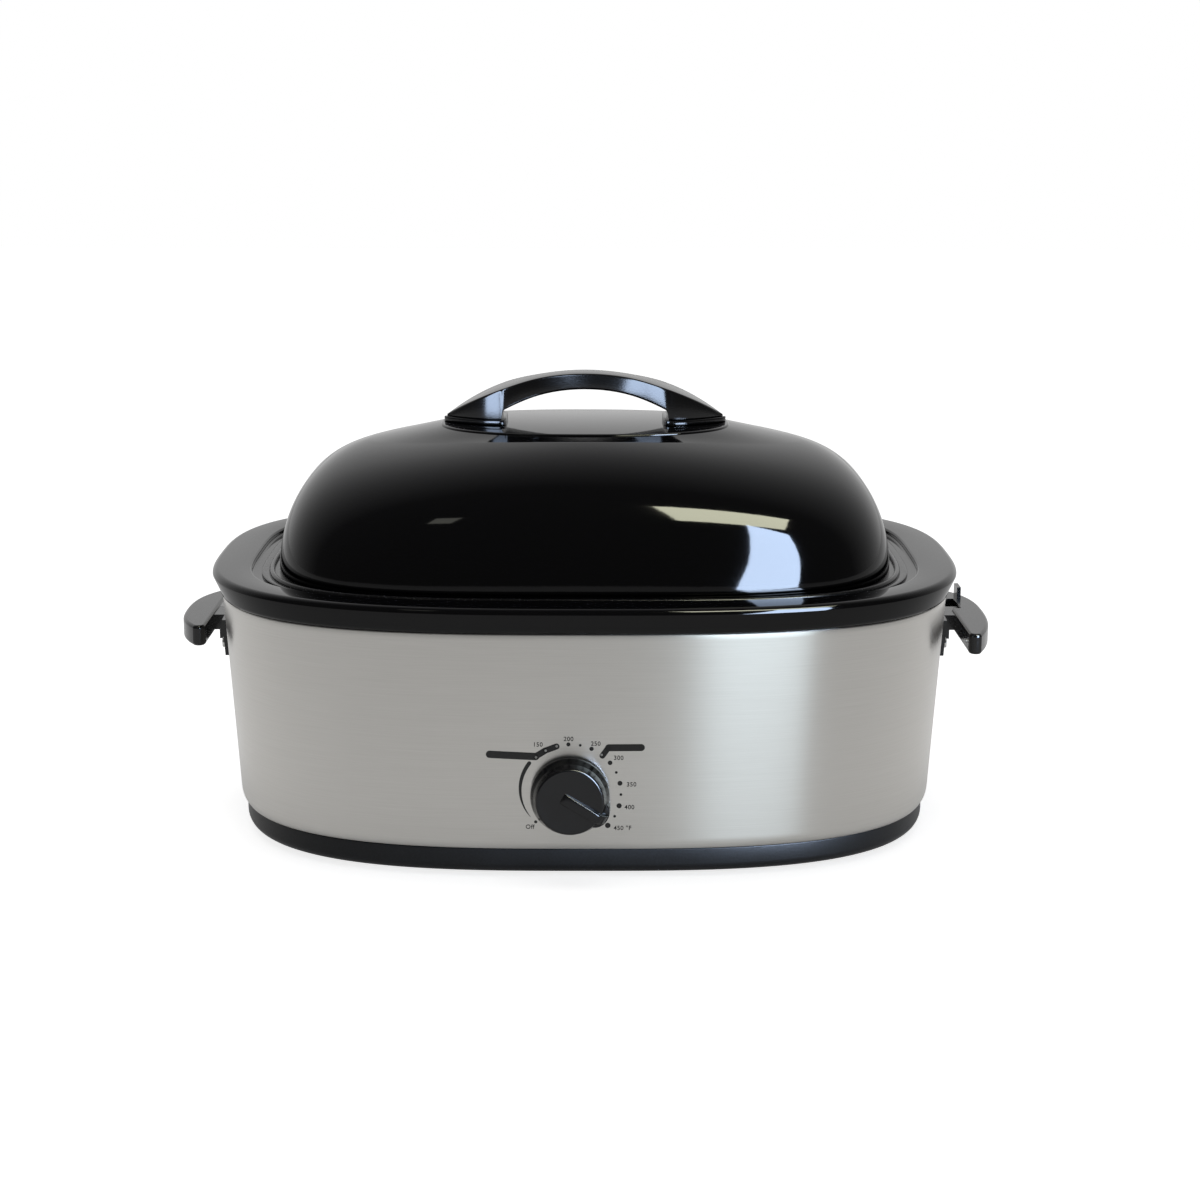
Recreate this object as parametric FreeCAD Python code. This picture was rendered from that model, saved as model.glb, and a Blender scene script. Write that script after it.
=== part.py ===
import FreeCAD, Part
import math
import os

from FreeCAD import Vector

os.makedirs("parts", exist_ok=True)

# An electric roaster oven in millimetres.
# X runs along the long side, Y from front to back and Z up.
# The pieces are drawn about the middle of the body, on the surface that the feet rest on.
# Each is then moved back a little, so that the origin is under the middle of the whole object.

# Plan outlines are superellipses: half length, half depth and exponent.
# Each curve starts at a corner, an eighth of the way round, clear of every hole.
outline_points = 64
outline_start = math.pi / 4
body_exponent = 2.99
rim_exponent = 3.4

# Body heights
foot_height = 2.0
base_top = 20.0
band_bottom = 20.3
band_top = 172.0
collar_bottom = 173.3
collar_top = 191.2

# Side band
band_half_length = 268.5
band_half_depth = 201.6
band_foot_half_length = 258.4
band_sheet = 0.8
band_curl_height = 9.0
band_curl_inset = 2.4
band_neck_inset = 4.0
band_neck_height = 4.5
band_flange_width = 9.0
curl_middle_share = 0.3
curl_middle_inset = 0.35
bead_share = 0.3
bead_inset = 0.4
hole_reach = 12.0

# Base pan
base_half_length = 254.7
base_half_depth = 199.0
base_sheet = 1.2
base_corner = 7.0
base_lap = 9.0
base_lap_inset = 4.0

# Collar
collar_half_length = 276.2
collar_half_depth = 205.8
collar_exponent = 2.84
collar_lip_half_length = 269.5
collar_lip_half_depth = 202.6
collar_sheet = 1.4
collar_edge_radius = 4.5
collar_lip_radius = 1.6
collar_lip_flare = 0.6
step_half_length = 246.0
step_half_depth = 176.0
step_fillet = 1.6
ledge_height = 186.5
ledge_width_ends = 15.0
ledge_width_sides = 13.0
ledge_half_length = step_half_length - ledge_width_ends
ledge_half_depth = step_half_depth - ledge_width_sides

# Cookwell flange, bead and wall, each inside the one before it
flange_gap_ends = 7.0
flange_gap_sides = 4.6
flange_half_length = step_half_length - flange_gap_ends
flange_half_depth = step_half_depth - flange_gap_sides
bead_inset_ends = 7.5
bead_inset_sides = 4.2
bead_half_length = flange_half_length - bead_inset_ends
bead_half_depth = flange_half_depth - bead_inset_sides
bead_width = 4.4
bead_height = 2.6
lid_gap_ends = 2.9
lid_gap_sides = 1.0
lid_half_length = bead_half_length - bead_width / 2 - lid_gap_ends
lid_half_depth = bead_half_depth - bead_width / 2 - lid_gap_sides
lid_seat_ends = 7.4
lid_seat_sides = 7.6
cookwell_half_length = lid_half_length - lid_seat_ends
cookwell_half_depth = lid_half_depth - lid_seat_sides
cookwell_exponent = 3.3
cookwell_draft = 9.0
cookwell_sheet = 1.2
cookwell_corner = 24.0
seat_gap = 0.1

# Heating well
well_gap_ends = 5.4
well_gap_sides = 4.8
well_half_length = cookwell_half_length + well_gap_ends
well_half_depth = cookwell_half_depth + well_gap_sides
well_draft = 10.0
well_floor = 28.0
well_sheet = 1.2
well_corner = 22.0
well_flange_margin = 3.0
well_flange_half_length = step_half_length - well_flange_margin
well_flange_half_depth = step_half_depth - well_flange_margin
cookwell_floor_gap = 7.0
cookwell_floor = well_floor + cookwell_floor_gap

# Lid
lid_exponent = 3.3
lid_draft = 2.5
crease_half_length = 163.0
crease_half_depth = 84.5
crease_exponent = 1.85
crease_front_height = 286.7
crease_end_height = 276.2
crease_turn = 66.0
shoulder_length_power = 0.45
shoulder_height_power = 0.9
plateau_half_length = 106.0
plateau_half_depth = 65.5
plateau_exponent = 2.4
plateau_height = 289.6
plateau_rise = 1.4
plateau_edge = 2.0
lid_sheet = 1.2
lid_sections = 12

# Lid handle
arch_top = 327.0
arch_half_length = 105.5
arch_foot_inner = 62.0
arch_thickness = 11.7
arch_half_width = 15.0
arch_foot_half_width = 24.0
arch_spring_height = 10.4
foot_taper_share = 0.72
waist_share = 0.55
waist_flare = 1.05
foot_flange_height = 4.0
foot_flange_margin = 2.0
lid_screw_x = 80.0
lid_screw_radius = 2.5
lid_screw_reach = 14.0
lid_screw_head_radius = 4.6
lid_screw_head_height = 3.0
lid_washer_radius = 8.0
lid_washer_height = 1.2

# Side handles
grip_top = 146.0
grip_thickness = 15.5
grip_outer = 303.5
grip_width = 23.0
grip_rear = 62.0
right_grip_front = 86.0
left_grip_front = 61.0
grip_tip_width = 9.0
grip_end_radius = 6.0
grip_edge_radius = 2.5
grip_bow = 3.5
grip_bow_share = 0.58
grip_tip_slope = 1.5
grip_tip_share = 0.45
web_half_width = 15.0
gusset_half_width = 4.0
gusset_rise = 4.0
web_root = 3.0
web_overlap = 6.0
cutter_margin = 20.0
grip_flange_thickness = 4.5
grip_flange_half_width = 42.0
grip_flange_bottom = 119.0
notch_length = 34.0
notch_depth = 7.5
rib_thickness = 3.0
rib_height = 7.0
rib_length = 16.0
rib_rear_margin = 3.0
handle_screw_y = 28.0
handle_screw_z = 126.0
handle_screw_radius = 2.0
handle_hole_gap = 0.3
handle_screw_head_radius = 4.0
handle_screw_head_height = 2.4
handle_plate_thickness = 2.0
handle_plate_half_width = 38.0
handle_plate_bottom = 118.0
handle_plate_top = 140.0
handle_nut_flats = 7.0
handle_nut_height = 3.2

# Control
control_x = -10.1
control_z = 60.3
knob_gap = 3.0
knob_radius = 27.2
knob_face_radius = 23.5
knob_skirt_height = 3.0
knob_height = 16.0
knob_edge_radius = 1.8
knob_wall = 2.5
knob_cavity_depth = 9.0
knob_hub_radius = 7.0
grip_bar_width = 7.0
grip_bar_rise = 4.0
grip_bar_start = 6.0
nose_reach = 2.6
nose_half_angle = 22.0
nose_height = 9.0
pointer_angle = 120.0
shaft_radius = 3.0
shaft_flat = 2.2
shaft_running_gap = 0.05
shaft_reach = 12.0
knob_fit_gap = 0.02
clip_thickness = 0.5
bush_radius = 4.8
bush_hole_gap = 0.4
bush_reach = 5.4
bush_nut_flats = 13.0
bush_nut_height = 2.4
thermostat_radius = 19.0
thermostat_depth = 20.0
thermostat_tab_width = 10.0
thermostat_tab_reach = 27.0
thermostat_tab_sheet = 2.0
shaft_depth = 8.0
bracket_half_width = 32.0
bracket_half_height = 17.0
bracket_thickness = 1.5
bracket_back_gap = 1.1
bracket_flange = 9.0

# Sensor
bulb_radius = 2.4
bulb_length = 60.0
bulb_z = 50.0
bulb_x = -80.0
clip_sheet = 1.0
clip_width = 8.0
clip_wall_gap = 0.3
capillary_radius = 0.8
capillary_bend_share = 0.8

# Heater and insulation
heater_bottom = 66.0
heater_top = 140.0
heater_thickness = 2.5
wrap_gap = 0.15
terminal_width = 6.0
terminal_thickness = 1.2
terminal_drop = 6.0
terminal_overlap = 4.0
terminal_offset = 24.0
strap_bottom = 94.0
strap_top = 112.0
strap_thickness = 0.8
strap_lug_reach = 11.0
strap_lug_gap = 10.0
strap_lug_thickness = 1.5
strap_screw_radius = 2.0
strap_screw_head_radius = 3.6
strap_screw_head_height = 2.4
strap_nut_flats = 7.0
strap_nut_height = 3.2
blanket_bottom = 60.0
blanket_top = 160.0
blanket_thickness = 10.0
blanket_gap_half_width = 30.0

# Under the well
shield_height = 14.0
shield_sheet = 0.8
shield_half_length = 205.0
shield_half_depth = 140.0
post_x = 120.0
post_y = 80.0
post_radius = 6.0
base_screw_radius = 2.0
base_screw_head_radius = 4.0
base_screw_head_height = 1.6
base_screw_hole_gap = 0.3
foot_x = 190.0
foot_y = 125.0
foot_radius = 12.0
foot_stem_radius = 4.0
foot_button_radius = 6.0
foot_button_height = 2.5

# Mains entry
gland_x = 40.0
gland_z = 48.0
gland_radius = 7.5
gland_bore = 3.6
gland_flange_radius = 10.5
gland_flange = 2.6
gland_inner_reach = 8.0
block_length = 34.0
block_depth = 14.0
block_height = 16.0
block_y = 176.0
block_screw_radius = 2.2
block_screw_height = 1.6
block_ways = 3
lead_radius = 1.4
lead_spacing = 6.0
lead_bend = 8.0
lead_bend_back = 60.0
lead_bend_front = -80.0
lead_stand_off = 12.0
lead_rise_drop = 8.0

# Rack
rack_half_length = 178.0
rack_half_depth = 118.0
rack_corner = 30.0
rack_wire = 2.5
rack_rod = 1.6
rack_rods = 11
rack_leg_wire = 2.1
rack_bail_wire = 2.0
rack_leg_spread = 0.88
rack_height = 16.0
rack_floor_gap = 0.3
bail_half_width = 40.0
bail_rise = 62.0
rack_leg_x = 125.0
rack_leg_bend = 8.0
rack_bail_bend = 12.0


def outline(half_length, half_depth, exponent, height, crown=None):
    """A closed superellipse curve at one height, or with its height read from crown(x, y)."""
    points = []
    for index in range(outline_points):
        angle = outline_start + 2 * math.pi * index / outline_points
        cosine = math.cos(angle)
        sine = math.sin(angle)
        x = half_length * math.copysign(abs(cosine) ** (2 / exponent), cosine)
        y = half_depth * math.copysign(abs(sine) ** (2 / exponent), sine)
        z = height if crown is None else crown(x, y)
        points.append(Vector(x, y, z))
    curve = Part.BSplineCurve()
    curve.interpolate(Points=points, PeriodicFlag=True)
    return Part.Wire([curve.toShape()])


def solid_from(faces):
    """A closed solid from its faces, turned so that its volume is positive."""
    shell = Part.Shell(faces)
    shell.sewShape()
    solid = Part.Solid(shell)
    if solid.Volume < 0:
        solid.reverse()
    return solid


def strips(loops):
    """The faces between each loop and the next: flat where both lie at one height."""
    faces = []
    for first, second in zip(loops, loops[1:]):
        heights = first.BoundBox.ZLength + second.BoundBox.ZLength
        level = heights < 0.001 and abs(first.BoundBox.ZMin - second.BoundBox.ZMin) < 0.001
        if level:
            faces.append(Part.makeFace([first, second], "Part::FaceMakerBullseye"))
        else:
            faces += Part.makeLoft([first, second], False, True).Faces
    return faces


def ring(outlines):
    """A sheet ring whose section passes through the outlines and closes on itself."""
    return solid_from(strips(list(outlines) + [outlines[0]]))


def pan(outlines):
    """A sheet pan whose section runs from its inner floor over the rim to its outer floor."""
    caps = [Part.Face(outlines[0]), Part.Face(outlines[-1])]
    return solid_from(caps + strips(outlines))


def box(low, high):
    """A box between two corners."""
    size = [b - a for a, b in zip(low, high)]
    return Part.makeBox(size[0], size[1], size[2], Vector(*low))


def rod(radius, start, end):
    """A round rod from one point to another."""
    start = Vector(*start)
    along = Vector(*end) - start
    return Part.makeCylinder(radius, along.Length, start, along)


def hexagon(flats, height, start, direction):
    """A hexagonal prism standing on start."""
    corner = flats / math.sqrt(3)
    points = [
        Vector(corner * math.cos(math.radians(60 * i)), corner * math.sin(math.radians(60 * i)), 0)
        for i in range(7)
    ]
    prism = Part.Face(Part.makePolygon(points)).extrude(Vector(0, 0, height))
    prism.Placement = FreeCAD.Placement(
        Vector(*start), FreeCAD.Rotation(Vector(0, 0, 1), Vector(*direction))
    )
    return prism


def rounded_path(points, bend):
    """Straight runs joined by tangent arcs of one bend radius."""
    corners = [Vector(*point) for point in points]
    edges = []
    start = corners[0]
    for before, corner, after in zip(corners, corners[1:], corners[2:]):
        inward = (before - corner).normalize()
        outward = (after - corner).normalize()
        half = inward.getAngle(outward) / 2
        cut = bend / math.tan(half)
        middle = (inward + outward).normalize() * (bend / math.sin(half) - bend)
        arc_start = corner + inward * cut
        arc_end = corner + outward * cut
        edges.append(Part.LineSegment(start, arc_start).toShape())
        edges.append(Part.Arc(arc_start, corner + middle, arc_end).toShape())
        start = arc_end
    edges.append(Part.LineSegment(start, corners[-1]).toShape())
    return Part.Wire(edges)


def tube(points, radius, bend):
    """A round wire along a path of straight runs and arcs."""
    path = rounded_path(points, bend)
    first = path.Edges[0]
    circle = Part.Circle(first.valueAt(first.FirstParameter), first.tangentAt(first.FirstParameter), radius)
    return path.makePipeShell([Part.Wire([circle.toShape()])], True, False)


def group(shapes):
    """Several separate solids of one node."""
    return Part.makeCompound(shapes)


def frame_shift():
    """How far everything moves back, so that the origin is under the middle of the whole object."""
    front = band_half_depth + knob_gap + knob_height + grip_bar_rise
    return (front - collar_half_depth) / 2


def save(name, shape):
    shape.translate(Vector(0, frame_shift(), 0))
    shape.exportStep("parts/" + name + ".step")


def band_size(height, inset=0.0):
    """Half length and half depth of the side band's outer face at a height."""
    share = (height - band_bottom) / (band_top - band_bottom)
    length = band_foot_half_length + (band_half_length - band_foot_half_length) * share
    return length - inset, band_half_depth - inset


def band_outline(height, inset=0.0):
    length, depth = band_size(height, inset)
    return outline(length, depth, body_exponent, height)


def well_size(height, offset=0.0):
    """Half length and half depth of the heating well's inner wall at a height."""
    share = (ledge_height - height) / (ledge_height - well_floor)
    return well_half_length - well_draft * share + offset, well_half_depth - well_draft * share + offset


def well_outline(height, offset=0.0):
    length, depth = well_size(height, offset)
    return outline(length, depth, rim_exponent, height)


def cookwell_outline(height, inset=0.0):
    share = (ledge_height - height) / (ledge_height - cookwell_floor)
    length = cookwell_half_length - cookwell_draft * share - inset
    depth = cookwell_half_depth - cookwell_draft * share - inset
    return outline(length, depth, cookwell_exponent, height)


def corner_steps(radius):
    """Inset and rise of a quarter round from a floor to a wall."""
    steps = []
    for angle in (0, 22.5, 45, 67.5, 90):
        turn = math.radians(angle)
        steps.append((radius * (1 - math.sin(turn)), radius * (1 - math.cos(turn))))
    return steps


def make_collar():
    """The enamelled rim ring: outer skirt, flat top, inner step and ledge."""
    top = collar_top
    wide = (collar_half_length, collar_half_depth, collar_exponent)
    lip = (collar_lip_half_length, collar_lip_half_depth, body_exponent)
    step = (step_half_length, step_half_depth, rim_exponent)
    ledge = (ledge_half_length, ledge_half_depth, rim_exponent)

    def at(size, inset, height):
        return outline(size[0] - inset, size[1] - inset, size[2], height)

    edge = collar_edge_radius
    bend = edge * (1 - math.sqrt(0.5))
    sheet = collar_sheet
    return ring([
        at(ledge, 0, ledge_height),
        at(step, step_fillet, ledge_height),
        at(step, 0, ledge_height + step_fillet),
        at(step, 0, top - step_fillet),
        at(step, -step_fillet, top),
        at(wide, edge, top),
        at(wide, bend, top - bend),
        at(wide, 0, top - edge),
        at(lip, -collar_lip_flare, collar_bottom + 2 * collar_lip_radius),
        at(lip, 0, collar_bottom + collar_lip_radius / 2),
        at(lip, collar_lip_radius, collar_bottom),
        at(lip, 2 * collar_lip_radius, collar_bottom + collar_lip_radius / 2),
        at(lip, 2 * collar_lip_radius, collar_bottom + 2 * collar_lip_radius),
        at(wide, sheet + edge, top - edge),
        at(wide, sheet + edge, top - sheet),
        at(step, -step_fillet - sheet, top - sheet),
        at(step, -sheet, top - step_fillet - sheet),
        at(step, -sheet, ledge_height - sheet),
        at(ledge, 0, ledge_height - sheet),
    ])


def make_side_band():
    """The stainless wrap with its curled foot, top bead and inward top flange."""
    sheet = band_sheet
    curl = band_curl_inset
    neck_top = band_top + band_neck_height
    curl_middle = band_bottom + band_curl_height * curl_middle_share
    middle_inset = curl * curl_middle_inset
    neck_bottom = band_top + band_neck_height * bead_share
    shell = ring([
        band_outline(band_bottom, curl),
        band_outline(curl_middle, middle_inset),
        band_outline(band_bottom + band_curl_height, 0),
        band_outline(band_top, 0),
        band_outline(neck_bottom, band_neck_inset * bead_inset),
        band_outline(neck_bottom, band_neck_inset),
        band_outline(neck_top, band_neck_inset),
        band_outline(neck_top, band_neck_inset + band_flange_width),
        band_outline(neck_top - sheet, band_neck_inset + band_flange_width),
        band_outline(neck_top - sheet, band_neck_inset + sheet),
        band_outline(neck_bottom - sheet, band_neck_inset + sheet),
        band_outline(band_top - sheet, sheet),
        band_outline(band_bottom + band_curl_height, sheet),
        band_outline(curl_middle, middle_inset + sheet),
        band_outline(band_bottom, curl + sheet),
    ])
    reach = hole_reach
    front = rod(
        bush_radius + bush_hole_gap,
        (control_x, -band_half_depth - reach, control_z),
        (control_x, -band_half_depth + reach, control_z),
    )
    rear = rod(
        gland_radius,
        (gland_x, band_half_depth - reach, gland_z),
        (gland_x, band_half_depth + reach, gland_z),
    )
    shell = shell.cut(front).cut(rear)
    for side in (-1, 1):
        for y in (-handle_screw_y, handle_screw_y):
            face = flange_face_x(y)
            hole = rod(
                handle_screw_radius + handle_hole_gap,
                (side * (face - reach), y, handle_screw_z),
                (side * (face + reach), y, handle_screw_z),
            )
            shell = shell.cut(hole)
    return shell


def make_base_pan():
    """The black base: a shallow pan that laps inside the band."""
    floor = foot_height
    sheet = base_sheet

    def at(inset, height):
        return outline(base_half_length - inset, base_half_depth - inset, body_exponent, height)

    outer = [at(inset, floor + rise) for inset, rise in corner_steps(base_corner)]
    inner = [at(inset + sheet, floor + sheet + rise) for inset, rise in corner_steps(base_corner)]
    rim = [
        at(0, base_top),
        at(base_lap_inset, base_top),
        at(base_lap_inset, base_top + base_lap),
        at(base_lap_inset + sheet, base_top + base_lap),
        at(base_lap_inset + sheet, base_top - sheet),
        at(sheet, base_top - sheet),
    ]
    base = pan(outer + rim + inner[::-1])
    for x, y in corners_of(post_x, post_y):
        base = base.cut(rod(base_screw_radius + base_screw_hole_gap, (x, y, 0), (x, y, floor + 3)))
    for x, y in corners_of(foot_x, foot_y):
        base = base.cut(rod(foot_stem_radius, (x, y, 0), (x, y, floor + 3)))
    return base


def corners_of(x, y):
    return [(-x, -y), (x, -y), (x, y), (-x, y)]


def make_heating_well():
    """The drawn liner that hangs from the collar's ledge."""
    sheet = well_sheet
    under_ledge = ledge_height - collar_sheet
    inner = []
    outer = []
    for inset, rise in corner_steps(well_corner):
        inner.append(well_outline(well_floor + rise, -inset))
        outer.append(well_outline(well_floor - sheet + rise, sheet - inset))
    flange = (well_flange_half_length, well_flange_half_depth, rim_exponent)
    top = [
        well_outline(under_ledge, 0),
        outline(*flange, under_ledge),
        outline(*flange, under_ledge - sheet),
        well_outline(under_ledge - sheet, sheet),
    ]
    return pan(inner + top + outer[::-1])


def make_cookwell():
    """The lift-out pan with a flat flange, a bead round the lid and a rolled edge."""
    sheet = cookwell_sheet
    bottom = ledge_height + seat_gap
    top = bottom + sheet
    bead = (bead_half_length, bead_half_depth, rim_exponent)
    flange = (flange_half_length, flange_half_depth, rim_exponent)

    def at(size, inset, height):
        return outline(size[0] - inset, size[1] - inset, size[2], height)

    inner = []
    outer = []
    for inset, rise in corner_steps(cookwell_corner):
        outer.append(cookwell_outline(cookwell_floor + rise, inset))
        inner.append(cookwell_outline(cookwell_floor + sheet + rise, inset + sheet))
    half = bead_width / 2
    rim = [
        cookwell_outline(top, sheet),
        at(bead, half, top),
        at(bead, half * 0.4, top + bead_height),
        at(bead, -half * 0.4, top + bead_height),
        at(bead, -half, top),
        at(flange, 1.2, top + 0.9),
        at(flange, 0, top),
        at(flange, 0, bottom),
        cookwell_outline(bottom, 0),
    ]
    return pan(inner + rim + outer[::-1])


def lid_outline(rise_share, turn, inset):
    """One loop of the lid's shoulder, from its foot at 0 to the crease at 1."""
    foot = ledge_height + cookwell_sheet + 2 * seat_gap
    quarter = math.radians(crease_turn)
    spread = (1 - math.cos(turn) ** shoulder_length_power) / (1 - math.cos(quarter) ** shoulder_length_power)
    lift = (math.sin(turn) / math.sin(quarter)) ** shoulder_height_power
    foot_length = lid_half_length - lid_draft * lift
    foot_depth = lid_half_depth - lid_draft * lift
    wall = inset * (1 - rise_share)
    length = foot_length + (crease_half_length - foot_length) * spread - wall
    depth = foot_depth + (crease_half_depth - foot_depth) * spread - wall
    exponent = lid_exponent + (crease_exponent - lid_exponent) * spread

    def crown(x, y):
        fall = (crease_front_height - crease_end_height) * (x / length) ** 2
        return foot + (crease_front_height - fall - inset - foot) * lift

    return outline(length, depth, exponent, 0, crown)


def lid_skin(inset):
    """The loops of one face of the lid, from the foot to the flat plateau."""
    loops = []
    for index in range(lid_sections + 1):
        share = index / lid_sections
        turn = math.radians(crease_turn) * share
        loops.append(lid_outline(share, turn, inset))
    edge_height = plateau_height - plateau_rise - inset
    outer = plateau_edge
    loops.append(outline(plateau_half_length + outer, plateau_half_depth + outer, plateau_exponent, edge_height))
    loops.append(outline(plateau_half_length, plateau_half_depth, plateau_exponent, plateau_height - inset))
    return loops


def make_lid():
    """The enamelled dome with its crease and raised plateau."""
    outside = lid_skin(0)
    inside = lid_skin(lid_sheet)
    dome = pan(outside[::-1] + inside)
    for side in (-1, 1):
        x = side * lid_screw_x
        dome = dome.cut(rod(lid_screw_radius, (x, 0, plateau_height - 10), (x, 0, plateau_height + 5)))
    return dome


def arch_face():
    """The arch's side view: outer bow, inner bow and the two feet."""
    base = plateau_height
    outer_left = Vector(-arch_half_length, 0, base + foot_flange_height)
    outer_right = Vector(arch_half_length, 0, base + foot_flange_height)
    inner_left = Vector(-arch_foot_inner, 0, base + arch_spring_height)
    inner_right = Vector(arch_foot_inner, 0, base + arch_spring_height)
    edges = [
        Part.Arc(outer_left, Vector(0, 0, arch_top), outer_right).toShape(),
        Part.LineSegment(outer_right, Vector(arch_half_length, 0, base)).toShape(),
        Part.LineSegment(Vector(arch_half_length, 0, base), Vector(arch_foot_inner, 0, base)).toShape(),
        Part.LineSegment(Vector(arch_foot_inner, 0, base), inner_right).toShape(),
        Part.Arc(inner_right, Vector(0, 0, arch_top - arch_thickness), inner_left).toShape(),
        Part.LineSegment(inner_left, Vector(-arch_foot_inner, 0, base)).toShape(),
        Part.LineSegment(Vector(-arch_foot_inner, 0, base), Vector(-arch_half_length, 0, base)).toShape(),
        Part.LineSegment(Vector(-arch_half_length, 0, base), outer_left).toShape(),
    ]
    return Part.Face(Part.Wire(edges))


def make_lid_handle():
    """The arched grip with its pointed, flanged feet."""
    reach = arch_foot_half_width + foot_flange_margin
    face = arch_face()
    face.translate(Vector(0, -reach, 0))
    slab = face.extrude(Vector(0, 2 * reach, 0))
    margin = foot_flange_margin
    waist = arch_half_width
    body_plan = foot_plan(arch_half_length - margin, arch_foot_half_width, waist)
    flange_plan = foot_plan(arch_half_length, arch_foot_half_width + margin, waist + margin)
    low = plateau_height - 1
    flange_top = plateau_height + foot_flange_height
    body = slab.common(body_plan.extrude(Vector(0, 0, arch_top - low + 5)))
    flange = slab.common(flange_plan.extrude(Vector(0, 0, flange_top - low)))
    handle = body.fuse(flange).removeSplitter()
    for side in (-1, 1):
        x = side * lid_screw_x
        pocket = rod(lid_screw_radius, (x, 0, plateau_height - 1), (x, 0, plateau_height + lid_screw_reach))
        handle = handle.cut(pocket)
    return handle


def foot_plan(tip, foot_half_width, waist):
    """Plan outline of the handle: points at both ends, widest at the feet's inner ends."""
    low = plateau_height - 1
    inner = arch_foot_inner
    middle = (tip + inner) / 2
    taper = foot_half_width * foot_taper_share
    flare = waist * waist_flare
    points = [
        Vector(-tip, 0, low),
        Vector(-middle, taper, low),
        Vector(-inner, foot_half_width, low),
        Vector(-inner * waist_share, flare, low),
        Vector(0, waist, low),
        Vector(inner * waist_share, flare, low),
        Vector(inner, foot_half_width, low),
        Vector(middle, taper, low),
        Vector(tip, 0, low),
    ]
    back = Part.BSplineCurve()
    back.interpolate(points)
    front = Part.BSplineCurve()
    front.interpolate([Vector(p.x, -p.y, p.z) for p in points[::-1]])
    return Part.Face(Part.Wire([back.toShape(), front.toShape()]))


def make_lid_screws():
    """Screws that come up through the plateau into the handle's feet."""
    bottom = plateau_height - lid_sheet - lid_washer_height
    screws = []
    for side in (-1, 1):
        x = side * lid_screw_x
        head = rod(lid_screw_head_radius, (x, 0, bottom - lid_screw_head_height), (x, 0, bottom))
        shank = rod(lid_screw_radius, (x, 0, bottom), (x, 0, plateau_height + lid_screw_reach - 1))
        slot = box(
            (x - lid_screw_head_radius, -0.5, bottom - lid_screw_head_height),
            (x + lid_screw_head_radius, 0.5, bottom - lid_screw_head_height * 0.5),
        )
        screws.append(head.fuse(shank).cut(slot).removeSplitter())
    return group(screws)


def make_lid_washers():
    top = plateau_height - lid_sheet
    washers = []
    for side in (-1, 1):
        x = side * lid_screw_x
        disc = rod(lid_washer_radius, (x, 0, top - lid_washer_height), (x, 0, top))
        washers.append(disc.cut(rod(lid_screw_radius, (x, 0, top - 5), (x, 0, top + 5))))
    return group(washers)


def handle_flange():
    """The plate that hugs the band, with room for the grip's web, for the right side."""
    low = outline_block(grip_flange_bottom, grip_top, grip_flange_thickness)
    limits = box(
        (band_half_length - 3 * cutter_margin, -grip_flange_half_width, grip_flange_bottom),
        (band_half_length + 2 * cutter_margin, grip_flange_half_width, grip_top),
    )
    return low.common(limits)


def outline_block(bottom, top, thickness):
    """A ring that lies on the band's outer face between two heights."""
    return ring([
        band_outline(bottom, 0),
        band_outline(top, 0),
        band_outline(top, -thickness),
        band_outline(bottom, -thickness),
    ])


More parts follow.
